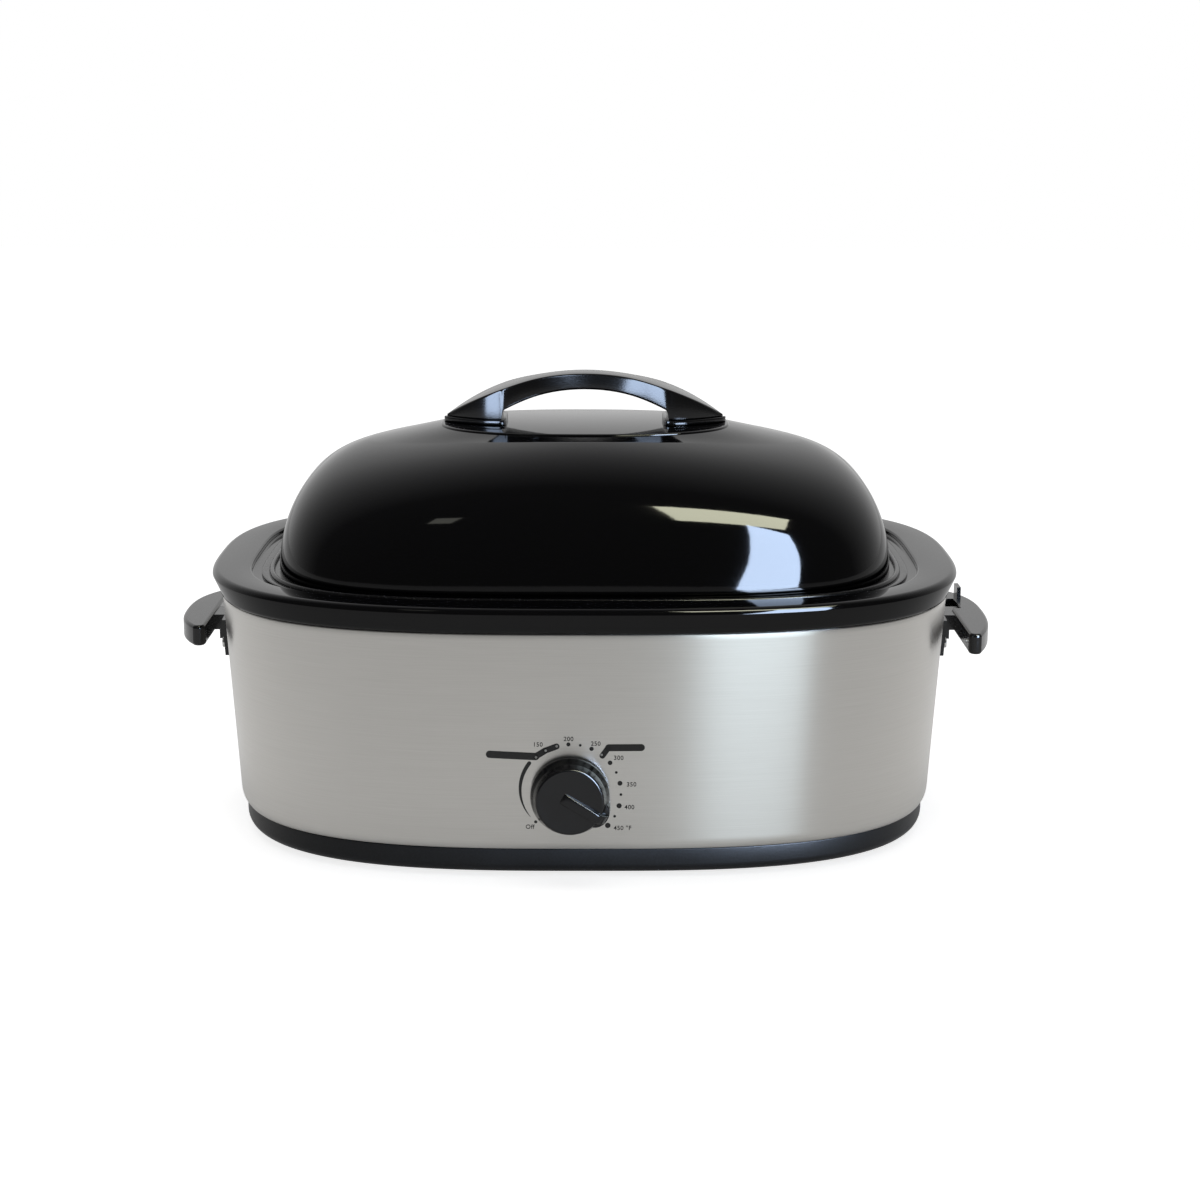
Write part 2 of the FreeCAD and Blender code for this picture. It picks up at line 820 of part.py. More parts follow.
def make_handle(side, front, notched):
    """A flat-topped side grip on its flange, free at the front end."""
    inner = grip_outer - grip_width
    bottom = grip_top - grip_thickness
    bow = grip_bow
    outer_points = [
        Vector(inner + grip_tip_width, -front + grip_tip_slope, bottom),
        Vector(grip_outer - bow, -front * grip_bow_share, bottom),
        Vector(grip_outer, 0, bottom),
        Vector(grip_outer - bow, grip_rear * grip_bow_share, bottom),
        Vector(inner + grip_tip_width, grip_rear - grip_tip_slope, bottom),
    ]
    outer = Part.BSplineCurve()
    outer.interpolate(outer_points)
    tip = Part.Arc(
        Vector(inner, -front + grip_end_radius, bottom),
        Vector(inner + grip_tip_width * grip_tip_share, -front, bottom),
        outer_points[0],
    )
    rear = Part.Arc(
        outer_points[-1],
        Vector(inner + grip_tip_width * grip_tip_share, grip_rear, bottom),
        Vector(inner, grip_rear - grip_end_radius, bottom),
    )
    inside = Part.LineSegment(
        Vector(inner, grip_rear - grip_end_radius, bottom), Vector(inner, -front + grip_end_radius, bottom)
    )
    face = Part.Face(Part.Wire([outer.toShape(), rear.toShape(), inside.toShape(), tip.toShape()]))
    grip = face.extrude(Vector(0, 0, grip_thickness))
    grip = grip.makeFillet(grip_edge_radius, [e for e in grip.Edges if abs(e.BoundBox.ZLength) < 0.01])
    if notched:
        cutter = Part.makePolygon([
            Vector(inner - 1, 0, bottom - 1),
            Vector(inner + notch_depth, 1, bottom - 1),
            Vector(inner + notch_depth * 0.8, notch_length, bottom - 1),
            Vector(inner - 1, notch_length, bottom - 1),
            Vector(inner - 1, 0, bottom - 1),
        ])
        grip = grip.cut(Part.Face(cutter).extrude(Vector(0, 0, grip_thickness + 2)))
        rib = box(
            (grip_outer - bow - rib_thickness * 3, grip_rear - rib_rear_margin - rib_length, grip_top - 2),
            (grip_outer - bow - rib_thickness * 2, grip_rear - rib_rear_margin, grip_top + rib_height),
        )
        grip = grip.fuse(rib)
    web_start = band_size(grip_top)[0]
    root = web_start - web_root
    web = box((root, -web_half_width, bottom + 2), (inner + web_overlap, web_half_width, grip_top - 2))
    gusset = box(
        (root, -gusset_half_width, grip_flange_bottom + gusset_rise),
        (inner - 2, gusset_half_width, bottom + gusset_rise),
    )
    inside_band = outline_block(grip_flange_bottom - cutter_margin, grip_top + cutter_margin, -2 * cutter_margin)
    handle = handle_flange().fuse([web.cut(inside_band), gusset.cut(inside_band), grip])
    handle = handle.removeSplitter()
    for y in (-handle_screw_y, handle_screw_y):
        face = flange_face_x(y)
        start = (face - hole_reach, y, handle_screw_z)
        handle = handle.cut(rod(handle_screw_radius, start, (face + hole_reach, y, handle_screw_z)))
    if side < 0:
        handle = handle.mirror(Vector(0, 0, 0), Vector(1, 0, 0))
    return handle


def flange_face_x(y, thickness=0.0):
    """Distance from the middle to the band's face at the handle screws' height."""
    length, depth = band_size(handle_screw_z, -thickness)
    return length * (1 - abs(y / depth) ** body_exponent) ** (1 / body_exponent)


def plate_inner_x():
    """Where the plates behind the band end on their inner side."""
    return flange_face_x(handle_plate_half_width) - band_sheet - 1.3 - handle_plate_thickness


def make_handle_screws():
    screws = []
    for side in (-1, 1):
        for y in (-handle_screw_y, handle_screw_y):
            face = flange_face_x(y, grip_flange_thickness)
            inner = plate_inner_x() - handle_nut_height - 1
            shank = rod(handle_screw_radius, (side * inner, y, handle_screw_z), (side * face, y, handle_screw_z))
            head = rod(
                handle_screw_head_radius,
                (side * (face + 0.3), y, handle_screw_z),
                (side * (face + 0.3 + handle_screw_head_height), y, handle_screw_z),
            )
            neck = rod(handle_screw_radius, (side * face, y, handle_screw_z), (side * (face + 1), y, handle_screw_z))
            screws.append(shank.fuse([head, neck]).removeSplitter())
    return group(screws)


def make_handle_plates():
    """Stiffening plates behind the band, one each side."""
    plates = []
    inner = plate_inner_x()
    for side in (-1, 1):
        low_x = min(side * inner, side * (inner + handle_plate_thickness))
        plate = box(
            (low_x, -handle_plate_half_width, handle_plate_bottom),
            (low_x + handle_plate_thickness, handle_plate_half_width, handle_plate_top),
        )
        for y in (-handle_screw_y, handle_screw_y):
            plate = plate.cut(rod(handle_screw_radius, (low_x - 5, y, handle_screw_z), (low_x + 9, y, handle_screw_z)))
        plates.append(plate)
    return group(plates)


def make_handle_nuts():
    nuts = []
    inner = plate_inner_x()
    for side in (-1, 1):
        for y in (-handle_screw_y, handle_screw_y):
            nut = hexagon(handle_nut_flats, handle_nut_height, (side * inner, y, handle_screw_z), (-side, 0, 0))
            hole = rod(handle_screw_radius, (side * (inner + 5), y, handle_screw_z), (side * (inner - 9), y, handle_screw_z))
            nuts.append(nut.cut(hole))
    return group(nuts)


def control_front(distance, x=0.0, z=0.0):
    """A point that far in front of the band, on or beside the control's axis."""
    return (control_x + x, -band_half_depth - distance, control_z + z)


def make_knob():
    """The knob with its raised bar and pointer nose, pointing up, then turned to its setting."""
    base = knob_gap
    face = knob_gap + knob_height
    wall = knob_wall
    edge = knob_edge_radius
    hub = knob_hub_radius
    floor = base + knob_cavity_depth
    profile = [
        (hub, base), (hub, floor), (knob_radius - wall, floor), (knob_radius - wall, base),
        (knob_radius, base), (knob_radius, base + knob_skirt_height),
        (knob_face_radius, face - edge), (knob_face_radius - edge * 0.3, face - edge * 0.3),
        (knob_face_radius - edge, face), (0, face), (0, base), (hub, base),
    ]
    outline_wire = Part.makePolygon([Vector(radius, 0, height) for radius, height in profile])
    body = Part.Face(outline_wire).revolve(Vector(0, 0, 0), Vector(0, 0, 1), 360)
    half = grip_bar_width / 2
    bar_points = [
        Vector(0, -grip_bar_start, face - 2),
        Vector(0, -grip_bar_start, face),
        Vector(0, 0, face + grip_bar_rise * 0.7),
        Vector(0, knob_face_radius - 3, face + grip_bar_rise),
        Vector(0, knob_radius - 1, face),
        Vector(0, knob_radius + nose_reach - 1, knob_gap + nose_height),
        Vector(0, knob_radius - 4, knob_gap + nose_height),
        Vector(0, knob_radius - 6, face - 2),
        Vector(0, -grip_bar_start, face - 2),
    ]
    bar = Part.Face(Part.makePolygon(bar_points))
    bar.translate(Vector(-half, 0, 0))
    bar = bar.extrude(Vector(grip_bar_width, 0, 0))
    nose = nose_sector()
    knob = body.fuse([bar, nose]).removeSplitter()
    bore = shaft_section(knob_fit_gap).extrude(Vector(0, 0, shaft_reach + 1))
    bore.translate(Vector(0, 0, base - 0.5))
    knob = knob.cut(bore)
    return place_control(knob)


def nose_sector():
    """The lobe that stands out past the skirt under the pointer."""
    reach = knob_radius + nose_reach
    half = math.radians(nose_half_angle)
    inner = knob_radius - knob_wall
    left = Vector(-inner * math.sin(half), inner * math.cos(half), knob_gap)
    right = Vector(inner * math.sin(half), inner * math.cos(half), knob_gap)
    far = Part.Arc(left, Vector(0, reach, knob_gap), right)
    near = Part.Arc(right, Vector(0, inner, knob_gap), left)
    return Part.Face(Part.Wire([far.toShape(), near.toShape()])).extrude(Vector(0, 0, nose_height))


def shaft_section(gap):
    """The D-shaped section of the control shaft."""
    radius = shaft_radius + gap
    flat = shaft_flat + gap
    half = math.sqrt(radius ** 2 - flat ** 2)
    arc = Part.Arc(Vector(-half, flat, 0), Vector(0, -radius, 0), Vector(half, flat, 0))
    line = Part.LineSegment(Vector(half, flat, 0), Vector(-half, flat, 0))
    return Part.Face(Part.Wire([arc.toShape(), line.toShape()]))


def place_control(shape):
    """Turns a piece from its own upright frame to the control's axis and setting."""
    shape.rotate(Vector(0, 0, 0), Vector(0, 0, 1), -pointer_angle)
    shape.rotate(Vector(0, 0, 0), Vector(1, 0, 0), 90)
    shape.translate(Vector(*control_front(0)))
    return shape


def make_control_shaft():
    """The shaft: round inside the thermostat's bush and D-shaped in the knob."""
    start = knob_gap + 0.5
    flat_part = shaft_section(0).extrude(Vector(0, 0, shaft_reach - 1))
    flat_part.translate(Vector(0, 0, start))
    back = bracket_back() + shaft_depth
    round_part = Part.makeCylinder(shaft_radius, back + start, Vector(0, 0, -back))
    return place_control(flat_part.fuse(round_part).removeSplitter())


def make_knob_clip():
    """The flat spring clip that presses on the shaft's flat inside the hub."""
    leaf = box(
        (-1.6, shaft_flat + knob_fit_gap, knob_gap + 1.5),
        (1.6, shaft_flat + knob_fit_gap + clip_thickness, knob_gap + shaft_reach - 3),
    )
    return place_control(leaf)


def cut_clip_pocket(knob):
    """Room in the hub for the spring clip."""
    pocket = box(
        (-1.6, shaft_flat - 0.2, knob_gap - 1),
        (1.6, shaft_flat + knob_fit_gap + clip_thickness, knob_gap + shaft_reach - 3),
    )
    return knob.cut(place_control(pocket))


def bracket_back():
    """How far the thermostat's mounting face lies behind the band's front."""
    return band_sheet + bracket_back_gap + bracket_thickness


def make_thermostat():
    """The thermostat: a round body with two side tabs and a threaded bush."""
    back = bracket_back()
    body = rod(thermostat_radius, control_front(-back), control_front(-back - thermostat_depth))
    low = (control_x - thermostat_tab_reach, -band_half_depth + back, control_z - thermostat_tab_width / 2)
    high = (
        control_x + thermostat_tab_reach,
        -band_half_depth + back + thermostat_tab_sheet,
        control_z + thermostat_tab_width / 2,
    )
    tab = box(low, high)
    bush = rod(bush_radius, control_front(-back), control_front(bush_reach - knob_gap))
    shape = body.fuse([tab, bush]).removeSplitter()
    bore = rod(shaft_radius + shaft_running_gap, control_front(-back - shaft_depth - 0.5), control_front(bush_reach))
    return shape.cut(bore)


def make_bush_nut():
    """The flat nut in front of the band that holds the thermostat's bush."""
    nut = hexagon(bush_nut_flats, bush_nut_height, control_front(0.1), (0, -1, 0))
    return nut.cut(rod(bush_radius, control_front(-1), control_front(bush_reach)))


def make_bracket():
    """The bracket behind the band that the thermostat is screwed to."""
    front = -band_half_depth + band_sheet + bracket_back_gap
    back = front + bracket_thickness
    left = control_x - bracket_half_width
    right = control_x + bracket_half_width
    low = control_z - bracket_half_height
    high = control_z + bracket_half_height
    plate = box((left, front, low), (right, back, high))
    shelf = box((left, front, low), (right, front + bracket_flange, low + bracket_thickness))
    lip = box((left, front, high - bracket_thickness), (right, front + bracket_flange, high))
    hole = rod(bush_radius, control_front(5), control_front(-20))
    bracket = plate.fuse([shelf, lip]).cut(hole)
    room = box(
        (control_x - thermostat_radius - 1, back, low - 1),
        (control_x + thermostat_radius + 1, back + bracket_flange, high + 1),
    )
    return bracket.cut(room).removeSplitter()


def wall_front(height, offset):
    """Y of the heating well's front wall, pushed outwards by offset."""
    return -well_size(height, offset)[1]


def bulb_centre_y():
    reach = bulb_radius + clip_sheet
    return wall_front(bulb_z + reach, well_sheet + reach + clip_wall_gap)


def make_sensing_bulb():
    """The thermostat's sensing bulb, lying along the well's front wall."""
    y = bulb_centre_y()
    return rod(bulb_radius, (bulb_x, y, bulb_z), (bulb_x + bulb_length, y, bulb_z))


def make_bulb_clips():
    """Two spring clips that hold the bulb against the well."""
    y = bulb_centre_y()
    clips = []
    for x in (bulb_x + bulb_length * 0.2, bulb_x + bulb_length * 0.8):
        sleeve = rod(bulb_radius + clip_sheet, (x - clip_width / 2, y, bulb_z), (x + clip_width / 2, y, bulb_z))
        foot = box(
            (x - clip_width / 2, y, bulb_z - bulb_radius - clip_sheet),
            (x + clip_width / 2, wall_front(bulb_z, well_sheet) - clip_wall_gap, bulb_z - bulb_radius),
        )
        bore = rod(bulb_radius, (x - clip_width, y, bulb_z), (x + clip_width, y, bulb_z))
        clips.append(sleeve.fuse(foot).cut(bore).removeSplitter())
    return group(clips)


def make_capillary():
    """The thin tube from the bulb's end to the back of the thermostat."""
    y = bulb_centre_y()
    back = -band_half_depth + bracket_back() + thermostat_depth
    end_x = bulb_x + bulb_length
    points = [
        (end_x, y, bulb_z),
        (control_x, y, bulb_z),
        (control_x, back, bulb_z),
    ]
    shorter_run = min(control_x - end_x, abs(back - y))
    return tube(points, capillary_radius, shorter_run * capillary_bend_share)


def wall_band(bottom, top, inner, thickness):
    """A band that lies round the heating well's outer wall."""
    return ring([
        well_outline(bottom, inner),
        well_outline(top, inner),
        well_outline(top, inner + thickness),
        well_outline(bottom, inner + thickness),
    ])


def make_heater_band():
    """The heating element: a wrapped band round the well's wall."""
    return wall_band(heater_bottom, heater_top, heater_inner(), heater_thickness)


def heater_inner():
    """How far the element's inner face lies outside the well's inner wall."""
    return well_sheet + wrap_gap


def strap_inner():
    return heater_inner() + heater_thickness + wrap_gap


def blanket_inner():
    return strap_inner() + strap_thickness + wrap_gap


def terminal_places():
    """X of the element's two terminal tabs."""
    first = control_x + terminal_offset
    return (first, first + 2 * lead_spacing)


def terminal_face():
    """Y of the tabs' inner face, on the element's front."""
    return wall_front(heater_bottom + terminal_overlap, heater_inner() + heater_thickness) - wrap_gap


def make_element_terminals():
    """Two tabs on the element's lower front edge that the leads end at."""
    y = terminal_face()
    tabs = []
    for x in terminal_places():
        low = (x - terminal_width / 2, y - terminal_thickness, heater_bottom - terminal_drop)
        high = (x + terminal_width / 2, y, heater_bottom + terminal_overlap)
        tabs.append(box(low, high))
    return group(tabs)


def make_heater_strap():
    """The steel strap that pulls the element against the well, with two lugs at the back."""
    inner = strap_inner()
    strap = wall_band(strap_bottom, strap_top, inner, strap_thickness)
    back = well_size(strap_top, inner)[1]
    gap = box((-strap_lug_gap / 2, back - 10, strap_bottom - 1), (strap_lug_gap / 2, back + 10, strap_top + 1))
    strap = strap.cut(gap)
    face = well_size(strap_top, inner)[1]
    for side in (-1, 1):
        x = side * (strap_lug_gap / 2 + strap_lug_thickness / 2)
        lug = box(
            (x - strap_lug_thickness / 2, face + strap_thickness / 4, strap_bottom),
            (x + strap_lug_thickness / 2, face + strap_lug_reach, strap_top),
        )
        strap = strap.fuse(lug)
    hole = rod(strap_screw_radius, (-20, strap_screw_y(), strap_middle()), (20, strap_screw_y(), strap_middle()))
    strap = strap.cut(hole)
    return strap.removeSplitter()


def strap_middle():
    return (strap_bottom + strap_top) / 2


def strap_screw_y():
    return well_size(strap_top, strap_inner())[1] + strap_lug_reach * 0.6


def make_strap_screw():
    """The screw that draws the strap's lugs together."""
    outer = strap_lug_gap / 2 + strap_lug_thickness
    y = strap_screw_y()
    z = strap_middle()
    head = rod(strap_screw_head_radius, (-outer - strap_screw_head_height, y, z), (-outer, y, z))
    shank = rod(strap_screw_radius, (-outer, y, z), (outer + strap_nut_height + 1, y, z))
    return head.fuse(shank).removeSplitter()


def make_strap_nut():
    outer = strap_lug_gap / 2 + strap_lug_thickness
    y = strap_screw_y()
    z = strap_middle()
    nut = hexagon(strap_nut_flats, strap_nut_height, (outer, y, z), (1, 0, 0))
    return nut.cut(rod(strap_screw_radius, (0, y, z), (30, y, z)))


def make_blanket():
    """Glass wool round the element, open at the strap's lugs."""
    inner = blanket_inner()
    blanket = wall_band(blanket_bottom, blanket_top, inner, blanket_thickness)
    depth = well_size(blanket_top, inner + blanket_thickness)[1]
    window = box(
        (-blanket_gap_half_width, depth - 30, strap_bottom - 6),
        (blanket_gap_half_width, depth + 5, strap_top + 6),
    )
    blanket = blanket.cut(window)
    low, high = terminal_places()
    room = terminal_width
    notch = box(
        (low - room, -depth - blanket_thickness, blanket_bottom - room),
        (high + room, -depth + 2 * blanket_thickness, heater_bottom + terminal_overlap + 1),
    )
    return blanket.cut(notch)


def make_heat_shield():
    """The bright plate between the well and the base."""
    bottom = outline(shield_half_length, shield_half_depth, body_exponent, shield_height)
    plate = Part.Face(bottom).extrude(Vector(0, 0, shield_sheet))
    for x, y in corners_of(post_x, post_y):
        plate = plate.cut(rod(base_screw_radius, (x, y, 0), (x, y, shield_height + 5)))
    return plate


def make_lower_posts():
    """Spacers between the base and the heat shield."""
    bottom = foot_height + base_sheet
    return spacers(bottom, shield_height)


def make_upper_posts():
    """Spacers between the heat shield and the well, where the screws end."""
    return spacers(shield_height + shield_sheet, well_floor - well_sheet)


def spacers(bottom, top):
    posts = []
    for x, y in corners_of(post_x, post_y):
        post = rod(post_radius, (x, y, bottom), (x, y, top))
        posts.append(post.cut(rod(base_screw_radius, (x, y, bottom - 1), (x, y, top + 1))))
    return group(posts)


def make_base_screws():
    """Screws from below through the base into the posts."""
    screws = []
    top = well_floor - well_sheet - 2
    for x, y in corners_of(post_x, post_y):
        head = rod(base_screw_head_radius, (x, y, foot_height - base_screw_head_height), (x, y, foot_height))
        shank = rod(base_screw_radius, (x, y, foot_height), (x, y, top))
        screws.append(head.fuse(shank).removeSplitter())
    return group(screws)


def make_base_feet():
    """Push-in rubber feet."""
    feet = []
    floor_top = foot_height + base_sheet
    for x, y in corners_of(foot_x, foot_y):
        pad = rod(foot_radius, (x, y, 0), (x, y, foot_height))
        stem = rod(foot_stem_radius, (x, y, foot_height), (x, y, floor_top))
        button = rod(foot_button_radius, (x, y, floor_top), (x, y, floor_top + foot_button_height))
        feet.append(pad.fuse([stem, button]).removeSplitter())
    return group(feet)


def gland_face_y():
    """The band's rear face at the gland."""
    length, depth = band_size(gland_z)
    return depth * (1 - abs(gland_x / length) ** body_exponent) ** (1 / body_exponent)


def make_cord_gland():
    """The insulating bush in the rear of the band where a mains cord enters."""
    face = gland_face_y() + 0.2
    inner_face = face - gland_inner_reach
    body = rod(gland_radius, (gland_x, inner_face, gland_z), (gland_x, face, gland_z))
    flange = rod(gland_flange_radius, (gland_x, face, gland_z), (gland_x, face + gland_flange, gland_z))
    bore = rod(gland_bore, (gland_x, inner_face - 1, gland_z), (gland_x, face + gland_flange + 1, gland_z))
    return body.fuse(flange).cut(bore).removeSplitter()


def block_floor():
    return foot_height + base_sheet


def make_terminal_block():
    """The ceramic terminal block on the base, near the gland."""
    floor = block_floor()
    block = box(
        (gland_x - block_length / 2, block_y - block_depth / 2, floor),
        (gland_x + block_length / 2, block_y + block_depth / 2, floor + block_height),
    )
    for x in block_places():
        pocket = rod(block_screw_radius, (x, block_y, floor + block_height - 4), (x, block_y, floor + block_height + 1))
        block = block.cut(pocket)
    for x in lead_places():
        way = rod(lead_radius, (x, block_y - block_depth / 2 - 1, lead_z()), (x, block_y, lead_z()))
        block = block.cut(way)
    return block


def block_places():
    step = block_length / block_ways
    return [gland_x + (index - (block_ways - 1) / 2) * step for index in range(block_ways)]


def lead_places():
    return (gland_x - lead_spacing / 2, gland_x + lead_spacing / 2)


def lead_z():
    return block_floor() + lead_radius + 0.2


def make_terminal_screws():
    top = block_floor() + block_height
    screws = []
    for x in block_places():
        screw = rod(block_screw_radius, (x, block_y, top - 4), (x, block_y, top - 4 + block_screw_height + 1))
        slot = box((x - 3, block_y - 0.4, top - 2.2), (x + 3, block_y + 0.4, top))
        screws.append(screw.cut(slot))
    return group(screws)


def make_power_leads():
    """Leads along the base from the terminal block to the thermostat and the element's tabs."""
    z = lead_z()
    start_y = block_y - block_depth / 2
    back = -band_half_depth + bracket_back() + thermostat_depth
    first, second = lead_places()
    low_tab = terminal_places()[0]
    tab_y = terminal_face() - terminal_thickness / 2
    run_y = back + lead_stand_off
    leads = []
    rise = control_z - lead_rise_drop
    to_thermostat = [
        (first, start_y, z),
        (first, lead_bend_back, z),
        (control_x + lead_spacing, lead_bend_front, z),
        (control_x + lead_spacing, run_y, z),
        (control_x + lead_spacing, run_y, rise),
        (control_x + lead_spacing, back, rise),
    ]
    leads.append(tube(to_thermostat, lead_radius, lead_bend / 2))
    to_element = [
        (second, start_y, z),
        (second, lead_bend_back, z),
        (low_tab, lead_bend_front, z),
        (low_tab, tab_y, z),
        (low_tab, tab_y, heater_bottom - terminal_drop),
    ]
    leads.append(tube(to_element, lead_radius, lead_bend))
    return group(leads)


def rack_base():
    return cookwell_floor + cookwell_sheet + rack_floor_gap


def rack_wire_height():
    """Height of the frame wire's middle."""
    return rack_base() + rack_height - rack_wire


def make_roasting_rack():
    """The welded wire rack: a frame, cross rods and legs."""
    base = rack_base()
    z = rack_wire_height()
    x = rack_half_length
    y = rack_half_depth
    bend = rack_corner
    right_half = tube([(0, -y, z), (x, -y, z), (x, y, z), (0, y, z)], rack_wire, bend)
    left_half = tube([(0, y, z), (-x, y, z), (-x, -y, z), (0, -y, z)], rack_wire, bend)
    rack = right_half.fuse(left_half)
    pieces = []
    for index in range(rack_rods):
        rod_x = (index / (rack_rods - 1) * 2 - 1) * (x - bend)
        pieces.append(rod(rack_rod, (rod_x, -y, z + rack_wire), (rod_x, y, z + rack_wire)))
    for rod_y in (-y * 0.4, y * 0.4):
        pieces.append(rod(rack_rod, (-x, rod_y, z), (x, rod_y, z)))
    for leg_x in (-rack_leg_x, rack_leg_x):
        foot = base + rack_leg_wire
        leg = [
            (leg_x, -y, z),
            (leg_x, -y * rack_leg_spread, foot),
            (leg_x, y * rack_leg_spread, foot),
            (leg_x, y, z),
        ]
        pieces.append(tube(leg, rack_leg_wire, rack_leg_bend))
    return rack.fuse(pieces)


def make_rack_bails():
    """The two lifting wires at the rack's ends, just inside its frame."""
    z = rack_wire_height()
    end = rack_half_length - rack_wire - rack_bail_wire - wrap_gap
    bails = []
    for side in (-1, 1):
        bail = [
            (side * end, -bail_half_width, z - rack_wire),
            (side * end, -bail_half_width, z + bail_rise),
            (side * end, bail_half_width, z + bail_rise),
            (side * end, bail_half_width, z - rack_wire),
        ]
        bails.append(tube(bail, rack_bail_wire, rack_bail_bend))
    return group(bails)


def build():
    save("collar", make_collar())
    save("side_band", make_side_band())
    save("base_pan", make_base_pan())
    save("heating_well", make_heating_well())
    save("heater_band", make_heater_band())
    save("element_terminals", make_element_terminals())
    save("heater_strap", make_heater_strap())
    save("strap_screw", make_strap_screw())
    save("strap_nut", make_strap_nut())
    save("insulation_blanket", make_blanket())
    save("heat_shield", make_heat_shield())
    save("lower_posts", make_lower_posts())
    save("upper_posts", make_upper_posts())
    save("base_screws", make_base_screws())
    save("base_feet", make_base_feet())
    save("left_handle", make_handle(-1, left_grip_front, False))
    save("right_handle", make_handle(1, right_grip_front, True))
    save("handle_screws", make_handle_screws())
    save("handle_plates", make_handle_plates())
    save("handle_nuts", make_handle_nuts())
    save("thermostat", make_thermostat())
    save("thermostat_bracket", make_bracket())
    save("bush_nut", make_bush_nut())
    save("sensing_bulb", make_sensing_bulb())
    save("bulb_clips", make_bulb_clips())
    save("capillary_tube", make_capillary())
    save("cord_gland", make_cord_gland())
    save("terminal_block", make_terminal_block())
    save("terminal_screws", make_terminal_screws())
    save("power_leads", make_power_leads())
    save("knob", cut_clip_pocket(make_knob()))
    save("control_shaft", make_control_shaft())
    save("knob_clip", make_knob_clip())
    save("cookwell", make_cookwell())
    save("roasting_rack", make_roasting_rack())
    save("rack_bails", make_rack_bails())
    save("lid", make_lid())
    save("lid_handle", make_lid_handle())
    save("lid_screws", make_lid_screws())
    save("lid_washers", make_lid_washers())


build()
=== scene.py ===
import math

import bmesh
import bpy
import numpy as np
from mathutils import Matrix, Vector


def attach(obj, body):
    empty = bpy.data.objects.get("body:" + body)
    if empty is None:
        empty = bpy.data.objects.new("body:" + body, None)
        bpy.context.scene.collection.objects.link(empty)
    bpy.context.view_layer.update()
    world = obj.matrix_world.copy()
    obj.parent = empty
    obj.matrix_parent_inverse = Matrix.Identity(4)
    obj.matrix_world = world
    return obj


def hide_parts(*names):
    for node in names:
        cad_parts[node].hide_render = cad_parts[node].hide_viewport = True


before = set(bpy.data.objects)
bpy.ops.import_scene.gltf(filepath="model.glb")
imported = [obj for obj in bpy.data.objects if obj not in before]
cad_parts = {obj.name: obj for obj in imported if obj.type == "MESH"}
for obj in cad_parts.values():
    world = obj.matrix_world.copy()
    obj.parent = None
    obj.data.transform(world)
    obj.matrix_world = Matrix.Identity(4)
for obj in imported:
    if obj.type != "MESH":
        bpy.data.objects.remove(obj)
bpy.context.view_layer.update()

# Sizes are in millimetres about the middle of the body, as in the part's source.
# The frame has everything a little further back, with its origin under the whole object.
millimetre = 0.001
shift_back = 9.4
ring_points = 320
trial_points = 16 * ring_points
sharp_angle = math.radians(35)
quarter_turn = math.pi / 2

# The two ways that a quarter round can start
upright_first = True
level_first = False

# Plan outlines: half length, half depth and superellipse exponent
body_exponent = 2.99
rim_exponent = 3.4
collar_outline = (276.2, 205.8, 2.84)
collar_lip_outline = (269.5, 202.6, body_exponent)
step_outline = (246.0, 176.0, rim_exponent)
ledge_outline = (231.0, 163.0, rim_exponent)
base_outline = (254.7, 199.0, body_exponent)
flange_outline = (239.0, 171.4, rim_exponent)
bead_outline = (231.5, 167.2, rim_exponent)

# Heights
base_floor = 2.0
base_top = 20.0
band_bottom = 20.3
band_top = 172.0
collar_bottom = 173.3
collar_top = 191.2
ledge_height = 186.5

# Side band
band_length_top = 268.5
band_length_bottom = 258.4
band_depth = 201.6
band_sheet = 0.8
curl_inset = 2.4
curl_height = 9.0
curl_rows = 9
band_rows = 40
shoulder_inset = 1.6
shoulder_rise = 1.3
neck_inset = 4.0
neck_height = 4.5
opening_radius = 8.0

# Collar section
collar_edge = 4.5
collar_sheet = 1.4
lip_radius = 1.6
lip_flare = 0.6
step_fillet = 1.6

# Base
base_sheet = 1.2
base_corner = 7.0
base_top_fillet = 0.8
base_lap = 9.0
base_lap_inset = 4.0

# Cookwell
cookwell_half = (219.0, 156.4)
cookwell_exponent = 3.3
cookwell_draft = 9.0
cookwell_floor = 35.0
cookwell_sheet = 1.2
cookwell_corner = 24.0
cookwell_corner_steps = 10
cookwell_rest_gap = 0.1
throat_depth = 2.0
bead_half_width = 2.2
bead_height = 2.6
bead_steps = 8
flange_roll = (1.2, 0.4)
flange_edge_drop = 0.3

# Lid
lid_half = (226.4, 164.0)
lid_exponent = 3.3
lid_foot = 187.9
lid_foot_drop = 0.05
lid_draft = 2.5
lid_sheet = 1.2
shoulder_power = 0.45
shoulder_lift_power = 0.9
row_power = 1.2
outside_rows = 44
inside_rows = 22
crease_half = (163.0, 84.5)
crease_exponent = 1.85
crease_front = 286.7
crease_end = 276.2
crease_turn = math.radians(66)
crease_softening = 0.7
top_row_shares = (0.04, 0.3, 0.6, 0.97)
plateau_outline = (106.0, 65.5, 2.4)
plateau_height = 289.6
plateau_fillet = 1.4
plateau_flare = 2

